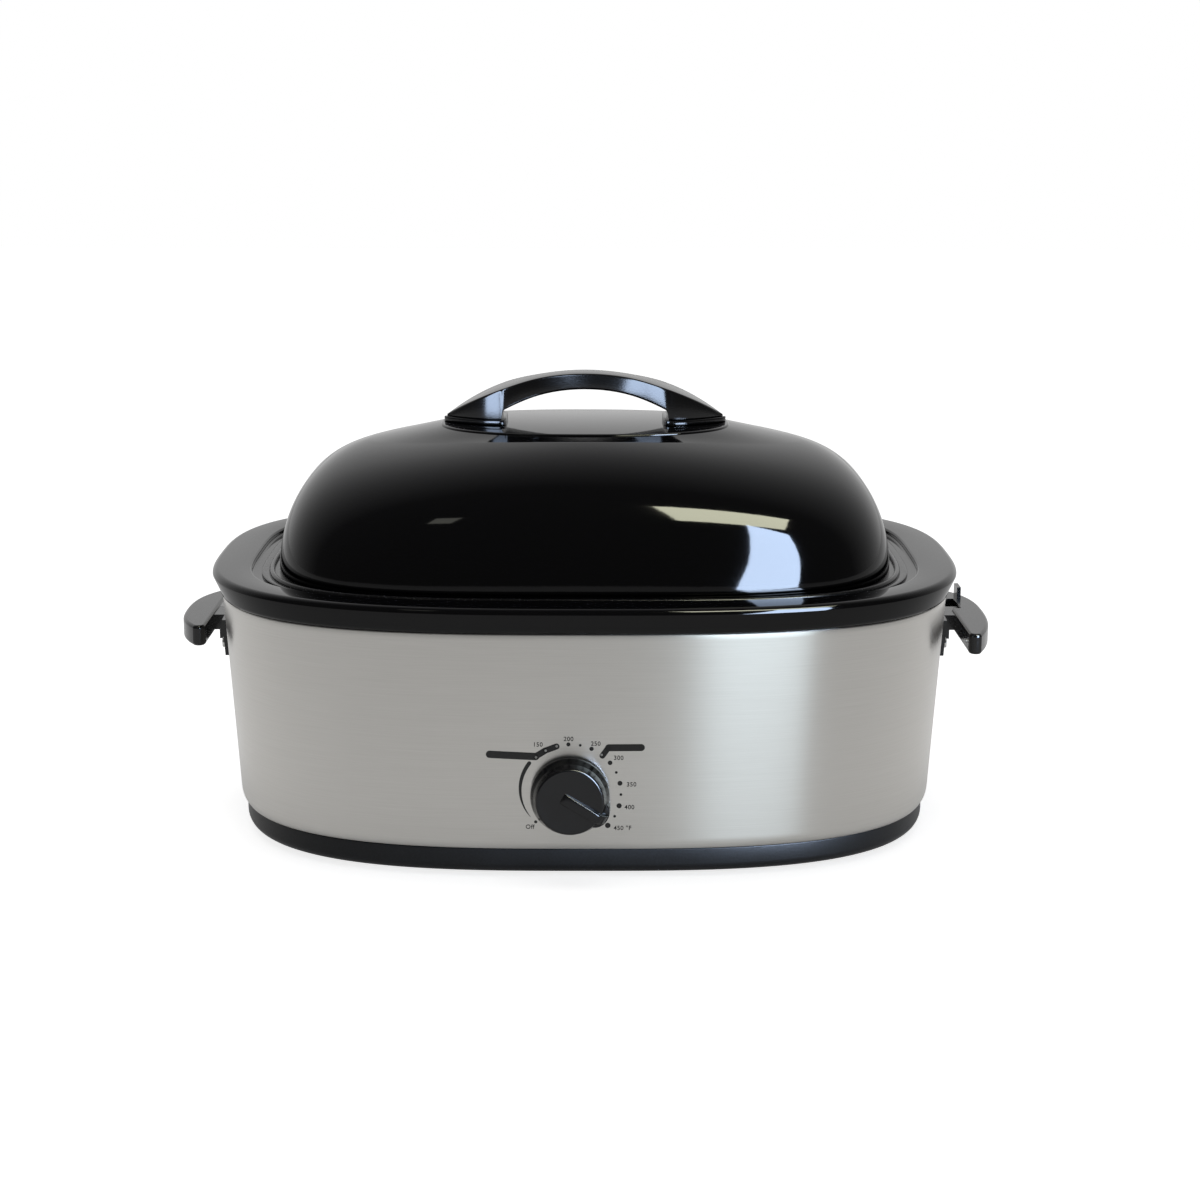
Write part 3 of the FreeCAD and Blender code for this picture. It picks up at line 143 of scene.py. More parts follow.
# Lid handle
arch_top = 327.0
arch_half_length = 105.5
arch_foot_inner = 62.0
arch_thickness = 11.7
arch_half_width = 15.0
arch_foot_half_width = 24.0
arch_edge_radius = 1.8
arch_lean = 0.1
arch_end_chord = 2.6
waist = (34.0, 15.8, 0.16)
taper = (83.0, 17.3, -0.6)
tip_slope = -1.1
post_round = 2.4
post_stations = (-1.6, -0.8, 0.0, 1.2)
grip_stations = 34
tip_stations = 26
tip_start = 3.0
tip_gap = 0.3
tip_least_width = 0.4
tip_least_height = 1.2
arch_sink = 0.5
foot_flange = 4.0
foot_margin = 2.0
foot_lead = 3.5
foot_lead_width = 0.82
foot_tip_slope = 1.7
foot_edge_radius = 1.3
foot_stations = 36
foot_tip_gap = 0.2
foot_rest_gap = 0.02

# Control
control_x = -10.1
control_z = 60.3
knob_gap = 3.0
knob_points = 180
knob_radius = 27.2
knob_face_radius = 23.5
knob_height = 16.0
knob_skirt = 3.0
knob_shell = 2.5
knob_hollow = 9.0
knob_bore = 7.0
knob_edge_fillet = 1.8
knob_wall_rows = 8
knob_fillet_rows = 6
knob_dish = ((knob_face_radius - 2.6, 0.12), (17, 0.3), (11, 0.4), (5, 0.45), (0.8, 0.45))
nose_reach = 2.6
nose_height = 9.0
nose_half_angle = math.radians(22)
nose_power = 0.8
nose_taper = 0.06
nose_top_share = 0.78
pointer_angle = math.radians(120)
bar_start = -6
bar_sections = 30
bar_rise = 4.0
bar_ramp = 24
bar_ramp_power = 0.6
bar_fall_start = 20.5
bar_fall_rate = 0.135
bar_root = 1.4
bar_root_fall_start = 22
bar_root_fall_rate = 1.5
bar_half_width = 3.9
bar_narrowing = 0.9
bar_foot_spread = 0.8
bar_edge_radius = 0.9
bar_end_gap = 1.6
gland_x = 40.0
gland_z = 48.0

# Printed marks round the dial, thin layers on the band
mark_centre = (0.3, 1.0)
mark_radius = 34.7
mark_start = -2.3
mark_step = 13.45
print_height = 0.12
tag_lift = 0.02
pale_dot_lift = 0.15
disc_points = 28
stroke_run = 4
off_angle = -131
off_radius = 31.7
arc_start = -53
arc_sweep = -69
arc_steps = 26
label_size = 4.3
label_spacing = 1.08
label_weight = 0.012


def metres(point):
    """A point of the part's source in the frame."""
    x, y, z = point
    return (x * millimetre, (y + shift_back) * millimetre, z * millimetre)


def superellipse(half_length, half_depth, exponent):
    """Evenly spaced points round a superellipse, from the right end."""
    angles = np.linspace(0, 2 * math.pi, trial_points + 1)
    cosine = np.cos(angles)
    sine = np.sin(angles)
    reach = (np.abs(cosine) ** exponent + np.abs(sine) ** exponent) ** (-1 / exponent)
    x = half_length * reach * cosine
    y = half_depth * reach * sine
    steps = np.hypot(np.diff(x), np.diff(y))
    travelled = np.concatenate([[0], np.cumsum(steps)])
    wanted = np.arange(ring_points) / ring_points * travelled[-1]
    return list(zip(np.interp(wanted, travelled, x), np.interp(wanted, travelled, y)))


def loop(outline, inset, height):
    """One level loop of points, a superellipse drawn inwards by inset."""
    points = superellipse(outline[0] - inset, outline[1] - inset, outline[2])
    return [(x, y, height) for x, y in points]


def bend(outline, start, end, starts_upright, steps):
    """Loops along a quarter round from one inset and height to another."""
    loops = []
    for step in range(steps + 1):
        turn = quarter_turn * step / steps
        early = math.sin(turn)
        late = 1 - math.cos(turn)
        inset_share, height_share = (late, early) if starts_upright else (early, late)
        inset = start[0] + (end[0] - start[0]) * inset_share
        height = start[1] + (end[1] - start[1]) * height_share
        loops.append(loop(outline, inset, height))
    return loops


def smooth_object(name, mesh, material):
    """A smooth-shaded object from a mesh, with its sharp edges kept."""
    mesh.materials.append(material)
    mesh.shade_smooth()
    mesh.set_sharp_from_angle(angle=sharp_angle)
    piece = bpy.data.objects.new(name, mesh)
    bpy.context.scene.collection.objects.link(piece)
    return piece


def mesh_object(name, vertices, faces, material):
    """An object from points in millimetres."""
    mesh = bpy.data.meshes.new(name)
    mesh.from_pydata([metres(v) for v in vertices], [], faces)
    mesh.update()
    work = bmesh.new()
    work.from_mesh(mesh)
    bmesh.ops.recalc_face_normals(work, faces=work.faces)
    work.to_mesh(mesh)
    work.free()
    return smooth_object(name, mesh, material)


def skin_faces(loop_count, points_per_loop, joined):
    """Quads between each loop and the next."""
    faces = []
    last = loop_count if joined else loop_count - 1
    for row in range(last):
        low = row * points_per_loop
        high = (row + 1) % loop_count * points_per_loop
        for column in range(points_per_loop):
            after = (column + 1) % points_per_loop
            faces.append((low + column, low + after, high + after, high + column))
    return faces


def skin(name, loops, material, joined=False, cap_first=False, cap_last=False, keep=None):
    """A surface through loops of points; keep(x, y, z) can leave faces out for a hole."""
    size = len(loops[0])
    vertices = [point for one in loops for point in one]
    faces = skin_faces(len(loops), size, joined)
    if keep is not None:
        faces = [face for face in faces if keep(*np.mean([vertices[i] for i in face], axis=0))]
    if cap_first:
        faces.append(tuple(range(size)))
    if cap_last:
        start = (len(loops) - 1) * size
        faces.append(tuple(range(start, start + size)))
    return mesh_object(name, vertices, faces, material)


def join(name, pieces):
    """Several mesh objects as one."""
    work = bmesh.new()
    material = pieces[0].data.materials[0]
    for piece in pieces:
        work.from_mesh(piece.data)
    mesh = bpy.data.meshes.new(name)
    work.to_mesh(mesh)
    work.free()
    for piece in pieces:
        bpy.data.objects.remove(piece)
    return smooth_object(name, mesh, material)


# Materials
def new_material(name):
    """An empty material with a Principled shader; returns the material, its nodes and links."""
    material = bpy.data.materials.new(name)
    material.use_nodes = True
    nodes = material.node_tree.nodes
    links = material.node_tree.links
    return material, nodes, links


def object_coordinates(nodes, links, stretch):
    """Object coordinates scaled by a vector, for grain that runs one way."""
    place = nodes.new("ShaderNodeTexCoord")
    scale = nodes.new("ShaderNodeMapping")
    scale.inputs["Scale"].default_value = stretch
    links.new(place.outputs["Object"], scale.inputs["Vector"])
    return scale.outputs["Vector"]


def noise(nodes, links, vector, scale, detail):
    texture = nodes.new("ShaderNodeTexNoise")
    texture.inputs["Scale"].default_value = scale
    texture.inputs["Detail"].default_value = detail
    links.new(vector, texture.inputs["Vector"])
    return texture.outputs["Fac"]


def ramp(nodes, links, value, low, high):
    """A value from 0 to 1 spread between two numbers."""
    spread = nodes.new("ShaderNodeMapRange")
    spread.inputs["To Min"].default_value = low
    spread.inputs["To Max"].default_value = high
    links.new(value, spread.inputs["Value"])
    return spread.outputs["Result"]


def colour_ramp(nodes, links, value, first, second, low=0.35, high=0.65):
    """A value turned into a colour: the first up to low, the second from high."""
    mix = nodes.new("ShaderNodeValToRGB")
    mix.color_ramp.elements[0].position = low
    mix.color_ramp.elements[0].color = (*first, 1)
    mix.color_ramp.elements[1].position = high
    mix.color_ramp.elements[1].color = (*second, 1)
    links.new(value, mix.inputs["Fac"])
    return mix.outputs["Color"]


def bump(nodes, links, value, strength, distance):
    relief = nodes.new("ShaderNodeBump")
    relief.inputs["Strength"].default_value = strength
    relief.inputs["Distance"].default_value = distance
    links.new(value, relief.inputs["Height"])
    return relief.outputs["Normal"]


def brushed_steel():
    """Stainless sheet brushed along the band, with soft upright highlights."""
    material, nodes, links = new_material("stainless_brushed")
    shader = nodes["Principled BSDF"]
    shader.inputs["Metallic"].default_value = 1.0
    shader.inputs["Anisotropic"].default_value = 0.85
    shader.inputs["Anisotropic Rotation"].default_value = 0.25
    tangent = nodes.new("ShaderNodeTangent")
    tangent.direction_type = "RADIAL"
    tangent.axis = "Z"
    links.new(tangent.outputs["Tangent"], shader.inputs["Tangent"])
    along_band = object_coordinates(nodes, links, (6, 6, 1600))
    even = object_coordinates(nodes, links, (1, 1, 1))
    streaks = noise(nodes, links, along_band, scale=4, detail=5)
    clouds = noise(nodes, links, even, scale=5, detail=2)
    colour = colour_ramp(nodes, links, streaks, (0.62, 0.605, 0.575), (0.665, 0.65, 0.62))
    links.new(colour, shader.inputs["Base Color"])
    links.new(ramp(nodes, links, clouds, 0.26, 0.32), shader.inputs["Roughness"])
    relief = bump(nodes, links, streaks, strength=0.05, distance=0.0001)
    links.new(relief, shader.inputs["Normal"])
    return material


def gloss_enamel(name, first, second, roughness):
    """Vitreous enamel: near-black glass with a faint orange peel and a few fine specks."""
    material, nodes, links = new_material(name)
    shader = nodes["Principled BSDF"]
    shader.inputs["IOR"].default_value = 1.52
    shader.inputs["Specular IOR Level"].default_value = 0.22
    even = object_coordinates(nodes, links, (1, 1, 1))
    specks = noise(nodes, links, even, scale=900, detail=2)
    peel = noise(nodes, links, even, scale=120, detail=3)
    colour = colour_ramp(nodes, links, specks, first, second, low=0.6, high=0.75)
    links.new(colour, shader.inputs["Base Color"])
    links.new(ramp(nodes, links, peel, roughness * 0.8, roughness * 1.3), shader.inputs["Roughness"])
    relief = bump(nodes, links, peel, strength=0.05, distance=0.0003)
    links.new(relief, shader.inputs["Normal"])
    return material


def finish(name, first, second, metallic, roughness, grain, relief, stretch=(1, 1, 1), shine=0.5):
    """A general fine-grained finish: two close colours, uneven roughness and a light relief."""
    material, nodes, links = new_material(name)
    shader = nodes["Principled BSDF"]
    shader.inputs["Metallic"].default_value = metallic
    shader.inputs["Specular IOR Level"].default_value = shine
    vector = object_coordinates(nodes, links, stretch)
    fine = noise(nodes, links, vector, scale=grain, detail=4)
    broad = noise(nodes, links, vector, scale=grain / 20, detail=2)
    links.new(colour_ramp(nodes, links, fine, first, second), shader.inputs["Base Color"])
    links.new(ramp(nodes, links, broad, roughness * 0.85, roughness * 1.15), shader.inputs["Roughness"])
    links.new(bump(nodes, links, fine, relief, distance=0.0003), shader.inputs["Normal"])
    return material


def fibre_blanket():
    """Matted glass fibre with a coarse, tangled relief."""
    material, nodes, links = new_material("glass_wool")
    shader = nodes["Principled BSDF"]
    shader.inputs["Roughness"].default_value = 0.95
    shader.inputs["Sheen Weight"].default_value = 0.3
    even = object_coordinates(nodes, links, (1, 1, 1))
    tangle = noise(nodes, links, even, scale=260, detail=8)
    colour = colour_ramp(nodes, links, tangle, (0.62, 0.57, 0.42), (0.82, 0.79, 0.68))
    links.new(colour, shader.inputs["Base Color"])
    links.new(bump(nodes, links, tangle, strength=0.8, distance=0.002), shader.inputs["Normal"])
    return material


# Each finish: two colours, how metallic and rough it is, the scale of its grain and its relief
enamel = gloss_enamel("black_enamel", (0.0015, 0.0015, 0.002), (0.004, 0.004, 0.0045), 0.05)
pan_enamel = gloss_enamel("pan_enamel", (0.003, 0.003, 0.0035), (0.06, 0.06, 0.065), 0.16)
steel = brushed_steel()
satin_colours = ((0.003, 0.0033, 0.004), (0.006, 0.0065, 0.008))
satin = finish("black_satin", *satin_colours, 0, 0.38, 700, 0.25, shine=0.28)
phenolic_colours = ((0.002, 0.002, 0.0025), (0.005, 0.005, 0.0055))
phenolic = finish("phenolic", *phenolic_colours, 0, 0.16, 1200, 0.1, shine=0.45)
knob_colours = ((0.003, 0.003, 0.004), (0.005, 0.005, 0.006))
knob_plastic = finish("knob_plastic", *knob_colours, 0, 0.2, 1500, 0.06, shine=0.4)
zinc = finish("zinc_steel", (0.45, 0.46, 0.47), (0.58, 0.58, 0.56), 1, 0.35, 300, 0.2)
bright = finish("bright_steel", (0.55, 0.55, 0.54), (0.66, 0.66, 0.65), 1, 0.2, 500, 0.1)
aluminised = finish("aluminised", (0.42, 0.42, 0.42), (0.56, 0.56, 0.56), 1, 0.42, 180, 0.25)
copper = finish("copper_alloy", (0.55, 0.28, 0.14), (0.68, 0.38, 0.2), 1, 0.3, 400, 0.15)
wool = fibre_blanket()
wrap = finish("element_wrap", (0.55, 0.51, 0.44), (0.70, 0.66, 0.58), 0, 0.8, 900, 0.6, (1, 1, 12))
case_plastic = finish("black_plastic", (0.012, 0.012, 0.013), (0.02, 0.02, 0.021), 0, 0.45, 900, 0.3)
steatite = finish("steatite", (0.70, 0.67, 0.60), (0.80, 0.78, 0.72), 0, 0.6, 800, 0.2)
rubber = finish("rubber", (0.016, 0.016, 0.016), (0.028, 0.028, 0.028), 0, 0.75, 900, 0.4)
sleeve = finish("lead_sleeve", (0.50, 0.48, 0.43), (0.64, 0.62, 0.56), 0, 0.7, 1500, 0.5, (1, 1, 4))
print_black = finish("print_black", (0.008, 0.008, 0.009), (0.014, 0.014, 0.015), 0, 0.4, 1200, 0.05)
print_white = finish("print_white", (0.62, 0.62, 0.60), (0.70, 0.70, 0.68), 0, 0.45, 1200, 0.05)

node_finishes = {
    "heating_well": aluminised, "heater_band": wrap, "element_terminals": zinc, "heater_strap": zinc,
    "strap_screw": zinc, "strap_nut": zinc, "insulation_blanket": wool, "heat_shield": bright,
    "lower_posts": zinc, "upper_posts": zinc, "base_screws": zinc, "base_feet": rubber,
    "left_handle": phenolic, "right_handle": phenolic, "handle_screws": bright, "handle_plates": zinc,
    "handle_nuts": zinc, "thermostat": case_plastic, "thermostat_bracket": zinc, "bush_nut": zinc,
    "sensing_bulb": copper, "bulb_clips": bright, "capillary_tube": copper, "cord_gland": case_plastic,
    "terminal_block": steatite, "terminal_screws": zinc, "power_leads": sleeve, "roasting_rack": bright,
    "rack_bails": bright, "lid_screws": zinc, "lid_washers": rubber, "control_shaft": zinc,
    "knob_clip": bright,
}


def dress_nodes():
    """Gives each carried-over node its finish."""
    for name, material in node_finishes.items():
        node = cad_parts[name]
        if not node.material_slots:
            node.data.materials.append(material)
        for place in node.material_slots:
            place.material = material


# Body pieces
def band_size(height):
    """The band's outline at a height; its ends draw in a little towards the base."""
    share = (height - band_bottom) / (band_top - band_bottom)
    length = band_length_bottom + (band_length_top - band_length_bottom) * share
    return (length, band_depth, body_exponent)


def on_band(x, z, lift):
    """A point that far in front of the band's face."""
    length, depth, exponent = band_size(z)
    y = depth * (1 - abs(x / length) ** exponent) ** (1 / exponent)
    return (x, -y - lift, z)


def band_loop(height, inset):
    return loop(band_size(height), inset, height)


def clear_of_openings(x, y, z):
    """False inside the two openings that the gland's flange and the knob cover."""
    gland = y > 0 and math.hypot(x - gland_x, z - gland_z) < opening_radius
    bush = y < 0 and math.hypot(x - control_x, z - control_z) < opening_radius
    return not gland and not bush


def make_side_band():
    """The stainless wrap, with its curled lower edge and the shoulder and neck at its top."""
    outer = []
    for step in range(curl_rows + 1):
        share = step / curl_rows
        outer.append(band_loop(band_bottom + curl_height * share, curl_inset * (1 - share) ** 3))
    start = band_bottom + curl_height
    for row in range(1, band_rows + 1):
        outer.append(band_loop(start + (band_top - start) * row / band_rows, 0))
    size = band_size(band_top)
    shoulder = band_top + shoulder_rise
    outer += bend(size, (0, band_top), (shoulder_inset, shoulder), upright_first, steps=4)[1:]
    outer.append(loop(size, neck_inset, shoulder))
    outer.append(loop(size, neck_inset, band_top + neck_height))
    inner = [
        loop(size, neck_inset + band_sheet, band_top + neck_height),
        loop(size, neck_inset + band_sheet, band_top),
        band_loop(band_top - 1, band_sheet),
    ]
    for row in range(band_rows, -1, -1):
        inner.append(band_loop(start + (band_top - 2 - start) * row / band_rows, band_sheet))
    inner.append(band_loop(band_bottom, curl_inset + band_sheet))
    band = skin("side_band_visual", outer + inner, steel, joined=True, keep=clear_of_openings)
    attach(band, "housing")
    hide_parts("side_band")
    return band


def make_collar():
    """Outer skirt, flat top, inner step and ledge of the enamelled rim."""
    top = collar_top
    fillet = step_fillet
    edge = collar_edge
    sheet = collar_sheet
    lip_top = collar_bottom + 2 * lip_radius
    lip_low = (lip_radius, collar_bottom)
    loops = [loop(ledge_outline, 0, ledge_height)]
    loops += bend(step_outline, (fillet, ledge_height), (0, ledge_height + fillet), level_first, steps=4)
    loops += bend(step_outline, (0, top - fillet), (-fillet, top), upright_first, steps=5)
    loops += bend(collar_outline, (edge, top), (0, top - edge), level_first, steps=9)
    loops += bend(collar_lip_outline, (-lip_flare, lip_top), lip_low, upright_first, steps=6)
    loops += bend(collar_lip_outline, lip_low, (2 * lip_radius, lip_top), level_first, steps=4)
    loops += [
        loop(collar_outline, sheet + edge, top - edge),
        loop(collar_outline, sheet + edge, top - sheet),
        loop(step_outline, -fillet - sheet, top - sheet),
        loop(step_outline, -sheet, top - fillet - sheet),
        loop(step_outline, -sheet, ledge_height - sheet),
        loop(ledge_outline, 0, ledge_height - sheet),
    ]
    collar = skin("collar_visual", loops, enamel, joined=True)
    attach(collar, "housing")
    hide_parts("collar")
    return collar


def make_base():
    """The pressed base, whose lap stands up inside the band."""
    sheet = base_sheet
    corner = base_corner
    fillet = base_top_fillet
    floor = base_floor
    loops = bend(base_outline, (corner, floor), (0, floor + corner), level_first, steps=8)
    loops += bend(base_outline, (0, base_top - fillet), (fillet, base_top), upright_first, steps=4)
    loops += [
        loop(base_outline, base_lap_inset, base_top),
        loop(base_outline, base_lap_inset, base_top + base_lap),
        loop(base_outline, base_lap_inset + sheet, base_top + base_lap),
        loop(base_outline, base_lap_inset + sheet, base_top - sheet),
        loop(base_outline, sheet, base_top - sheet),
    ]
    loops += bend(base_outline, (sheet, floor + corner), (corner, floor + sheet), upright_first, steps=5)
    base = skin("base_pan_visual", loops, satin, cap_first=True, cap_last=True)
    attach(base, "housing")
    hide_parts("base_pan")
    return base


def cookwell_loop(height, inset):
    """One loop of the pan's wall, which draws in towards its floor."""
    share = (ledge_height - height) / (ledge_height - cookwell_floor)
    fall = cookwell_draft * share
    size = (cookwell_half[0] - fall, cookwell_half[1] - fall, cookwell_exponent)
    return loop(size, inset, height)


def make_cookwell():
    """The lift-out pan: floor, wall, flat flange, bead and rolled edge."""
    sheet = cookwell_sheet
    bottom = ledge_height + cookwell_rest_gap
    top = bottom + sheet
    inner = []
    outer = []
    for step in range(cookwell_corner_steps + 1):
        turn = quarter_turn * step / cookwell_corner_steps
        inset = cookwell_corner * (1 - math.sin(turn))
        rise = cookwell_corner * (1 - math.cos(turn))
        inner.append(cookwell_loop(cookwell_floor + sheet + rise, inset + sheet))
        outer.append(cookwell_loop(cookwell_floor + rise, inset))
    rim = [cookwell_loop(top - throat_depth, sheet), cookwell_loop(top, 0)]
    for step in range(bead_steps + 1):
        turn = math.pi * step / bead_steps
        rim.append(loop(bead_outline, bead_half_width * math.cos(turn), top + bead_height * math.sin(turn)))
    roll = (flange_roll[0], top + flange_roll[1])
    rim += bend(flange_outline, roll, (0, top - flange_edge_drop), level_first, steps=3)
    rim += [loop(flange_outline, 0, bottom), cookwell_loop(bottom, 0)]
    loops = inner + rim + outer[::-1]
    pan = skin("cookwell_visual", loops, pan_enamel, cap_first=True, cap_last=True)
    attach(pan, "pan")
    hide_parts("cookwell")
    return pan


# Lid
def lid_loop(share, inset):
    """One loop of the shoulder, from the foot at 0 to the crease at 1."""
    turn = crease_turn * share
    spread = (1 - math.cos(turn) ** shoulder_power) / (1 - math.cos(crease_turn) ** shoulder_power)
    lift = (math.sin(turn) / math.sin(crease_turn)) ** shoulder_lift_power
    wall = inset * (1 - share)
    length = lid_half[0] - lid_draft * lift
    depth = lid_half[1] - lid_draft * lift
    length += (crease_half[0] - length) * spread - wall
    depth += (crease_half[1] - depth) * spread - wall
    exponent = lid_exponent + (crease_exponent - lid_exponent) * spread
    points = []
    for x, y in superellipse(length, depth, exponent):
        crown = crease_front - (crease_front - crease_end) * (x / length) ** 2
        points.append((x, y, lid_foot + (crown - inset - lid_foot) * lift))
    return points


def blend_loops(first, second, share):
    return [tuple(a + (b - a) * share for a, b in zip(p, q)) for p, q in zip(first, second)]


def lid_face(inset, rows):
    """The loops of one face of the lid, with a soft crease and a raised plateau."""
    loops = []
    for row in range(rows):
        loops.append(lid_loop((row / rows) ** row_power, inset))
    crease = lid_loop(1, inset)
    edge_height = plateau_height - plateau_fillet - inset
    edge = loop(plateau_outline, -plateau_flare, edge_height)
    loops.append(blend_loops(loops[-1], crease, crease_softening))
    loops.append(crease)
    for share in top_row_shares:
        loops.append(blend_loops(crease, edge, share))
    top = (0, plateau_height - inset)
    loops += bend(plateau_outline, (-plateau_flare, edge_height), top, upright_first, steps=4)
    return loops


def make_lid():
    """The dome, as an outer and an inner face joined round the foot."""
    outside = lid_face(0, outside_rows)
    inside = lid_face(lid_sheet, inside_rows)
    rim = [loop((*lid_half, lid_exponent), lid_sheet / 2, lid_foot - lid_foot_drop)]
    lid = skin("lid_visual", outside[::-1] + rim + inside, enamel, cap_first=True, cap_last=True)
    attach(lid, "lid")
    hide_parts("lid")
    return lid


def bow(half_chord, end_height, top):
    """Height along a circular bow, as a function of x."""
    rise = top - end_height
    radius = (half_chord ** 2 + rise ** 2) / (2 * rise)
    return lambda x: top - radius + math.sqrt(radius ** 2 - min(abs(x), radius) ** 2)


def arch_width(x, margin=0.0):
    """Half width of the handle in plan: waist, widest at the posts, pointed at the tips."""
    tip = arch_half_length - foot_margin + margin
    reach = min(abs(x), tip)
    places = (0, waist[0], arch_foot_inner, taper[0], tip)
    widths = (arch_half_width, waist[1], arch_foot_half_width, taper[1], 0.0)
    slopes = (0, waist[2], 0.0, taper[2], tip_slope)
    index = max(i for i in range(4) if reach >= places[i])
    run = places[index + 1] - places[index]
    t = (reach - places[index]) / run
    width = (2 * t ** 3 - 3 * t ** 2 + 1) * widths[index] + (3 * t ** 2 - 2 * t ** 3) * widths[index + 1]
    width += (t ** 3 - 2 * t ** 2 + t) * run * slopes[index] + (t ** 3 - t ** 2) * run * slopes[index + 1]
    return width + margin


def rounded_section(x, half_width, low, high, radius, lean=0.0, steps=6):
    """A rounded rectangle across the handle at one x, its sides leaning in by a share of their height."""
    radius = min(radius, half_width * 0.95, (high - low) * 0.48)
    corners = ((1, 1), (-1, 1), (-1, -1), (1, -1))
    points = []
    narrower = min((high - low) * lean, half_width * 0.3)
    for index, (side, up) in enumerate(corners):
        centre_y = side * (half_width - radius - (narrower if up > 0 else 0))
        centre_z = (high - radius) if up > 0 else (low + radius)
        for step in range(steps + 1):
            turn = quarter_turn * (index + step / steps)
            points.append((x, centre_y + radius * math.cos(turn), centre_z + radius * math.sin(turn)))
    return points


def arch_stations():
    """Where the arch's sections stand, closer together at the posts."""
    tip = arch_half_length - foot_margin
    stations = list(np.linspace(0, arch_foot_inner - post_round, grip_stations))
    stations += [arch_foot_inner + offset for offset in post_stations]
    stations += list(np.linspace(arch_foot_inner + tip_start, tip - tip_gap, tip_stations))
    return [-x for x in stations[:0:-1]] + stations


def handle_arch(foot_top):
    """The bowed grip, which runs down into a post at each end."""
    outer = bow(arch_half_length, foot_top, arch_top)
    inner = bow(arch_foot_inner, plateau_height + foot_flange * arch_end_chord, arch_top - arch_thickness)
    floor = foot_top - arch_sink
    sections = []
    for x in arch_stations():
        share = min(max((abs(x) - (arch_foot_inner - post_round)) / post_round, 0), 1)
        low = inner(min(abs(x), arch_foot_inner))
        low += (floor - low) * (1 - math.sqrt(1 - share ** 2)) if share < 1 else floor - low
        high = max(outer(x), floor + tip_least_height)
        width = max(arch_width(x), tip_least_width)
        sections.append(rounded_section(x, width, low, high, arch_edge_radius, arch_lean))
    return skin("arch", sections, phenolic, cap_first=True, cap_last=True)


def handle_foot(side, foot_top):
    """The flange under one post, pointed at its outer end."""
    sections = []
    start = arch_foot_inner - foot_lead
    for x in np.linspace(start, arch_half_length - foot_tip_gap, foot_stations):
        width = arch_width(max(x, arch_foot_inner), foot_margin)
        lead = min((x - start) / foot_lead, 1)
        width *= foot_lead_width + (1 - foot_lead_width) * math.sqrt(1 - (1 - lead) ** 2)
        width = min(width, (arch_half_length - x) * foot_tip_slope + tip_least_width)
        low = plateau_height + foot_rest_gap
        sections.append(rounded_section(side * x, width, low, foot_top, foot_edge_radius))
    return skin("foot", sections, phenolic, cap_first=True, cap_last=True)


def make_lid_handle():
    """The arched grip, its two posts and their flanged, pointed feet."""
    foot_top = plateau_height + foot_flange
    pieces = [handle_arch(foot_top), handle_foot(-1, foot_top), handle_foot(1, foot_top)]
    handle = join("lid_handle_visual", pieces)
    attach(handle, "lid")
    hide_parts("lid_handle")
    return handle


# Control
def dial_point(across, along, out):
    """A point of the knob: across and along its pointer, and out from the band."""
    sine = math.sin(pointer_angle)
    cosine = math.cos(pointer_angle)
    x = control_x + across * cosine + along * sine
    z = control_z - across * sine + along * cosine
    return (x, -band_depth - out, z)


def knob_loop(radius, height, nose):
    """A ring of the knob; nose is how much of the pointer's lobe it carries."""
    points = []
    for index in range(knob_points):
        turn = 2 * math.pi * index / knob_points
        off_pointer = abs((turn - quarter_turn + math.pi) % (2 * math.pi) - math.pi)
        share = max(0, 1 - (off_pointer / nose_half_angle) ** 2) ** nose_power
        reach = radius + (knob_radius + nose_reach - radius) * share * nose
        points.append(dial_point(reach * math.cos(turn), reach * math.sin(turn), height))
    return points


def knob_wall_radius(share):
    return knob_radius + (knob_face_radius - knob_radius) * share


def knob_body():
    """The hollow skirt, the tapered wall with the pointer's lobe, and the dished face."""
    base = knob_gap
    face = base + knob_height
    inside = knob_radius - knob_shell
    loops = [
        knob_loop(knob_bore, base + knob_hollow, 0),
        knob_loop(inside, base + knob_hollow, 0),
        knob_loop(inside, base, 0),
        knob_loop(knob_radius - 0.7, base, 1),
        knob_loop(knob_radius - 0.2, base + 0.2, 1),
        knob_loop(knob_radius, base + 0.7, 1),
        knob_loop(knob_radius, base + knob_skirt, 1),
    ]
    wall_low = base + knob_skirt
    wall_high = face - knob_edge_fillet
    for step in range(1, knob_wall_rows + 1):
        height = wall_low + (nose_height - knob_skirt) * step / knob_wall_rows
        share = (height - wall_low) / (wall_high - wall_low)
        nose = 1 - nose_taper * (step / knob_wall_rows) ** 4
        loops.append(knob_loop(knob_wall_radius(share), height, nose))
    radius = knob_wall_radius((nose_height - knob_skirt + 0.5) / (wall_high - wall_low))
    loops.append(knob_loop(radius, base + nose_height + 0.4, nose_top_share))
    loops.append(knob_loop(radius, base + nose_height + 0.6, 0))
    loops.append(knob_loop(knob_face_radius, wall_high, 0))
    for step in range(1, knob_fillet_rows + 1):
        turn = quarter_turn * step / knob_fillet_rows
        radius = knob_face_radius - knob_edge_fillet * (1 - math.cos(turn))
        loops.append(knob_loop(radius, wall_high + knob_edge_fillet * math.sin(turn), 0))
    for radius, dip in knob_dish:
        loops.append(knob_loop(radius, face - dip, 0))
    return skin("knob_body", loops, knob_plastic, cap_last=True)


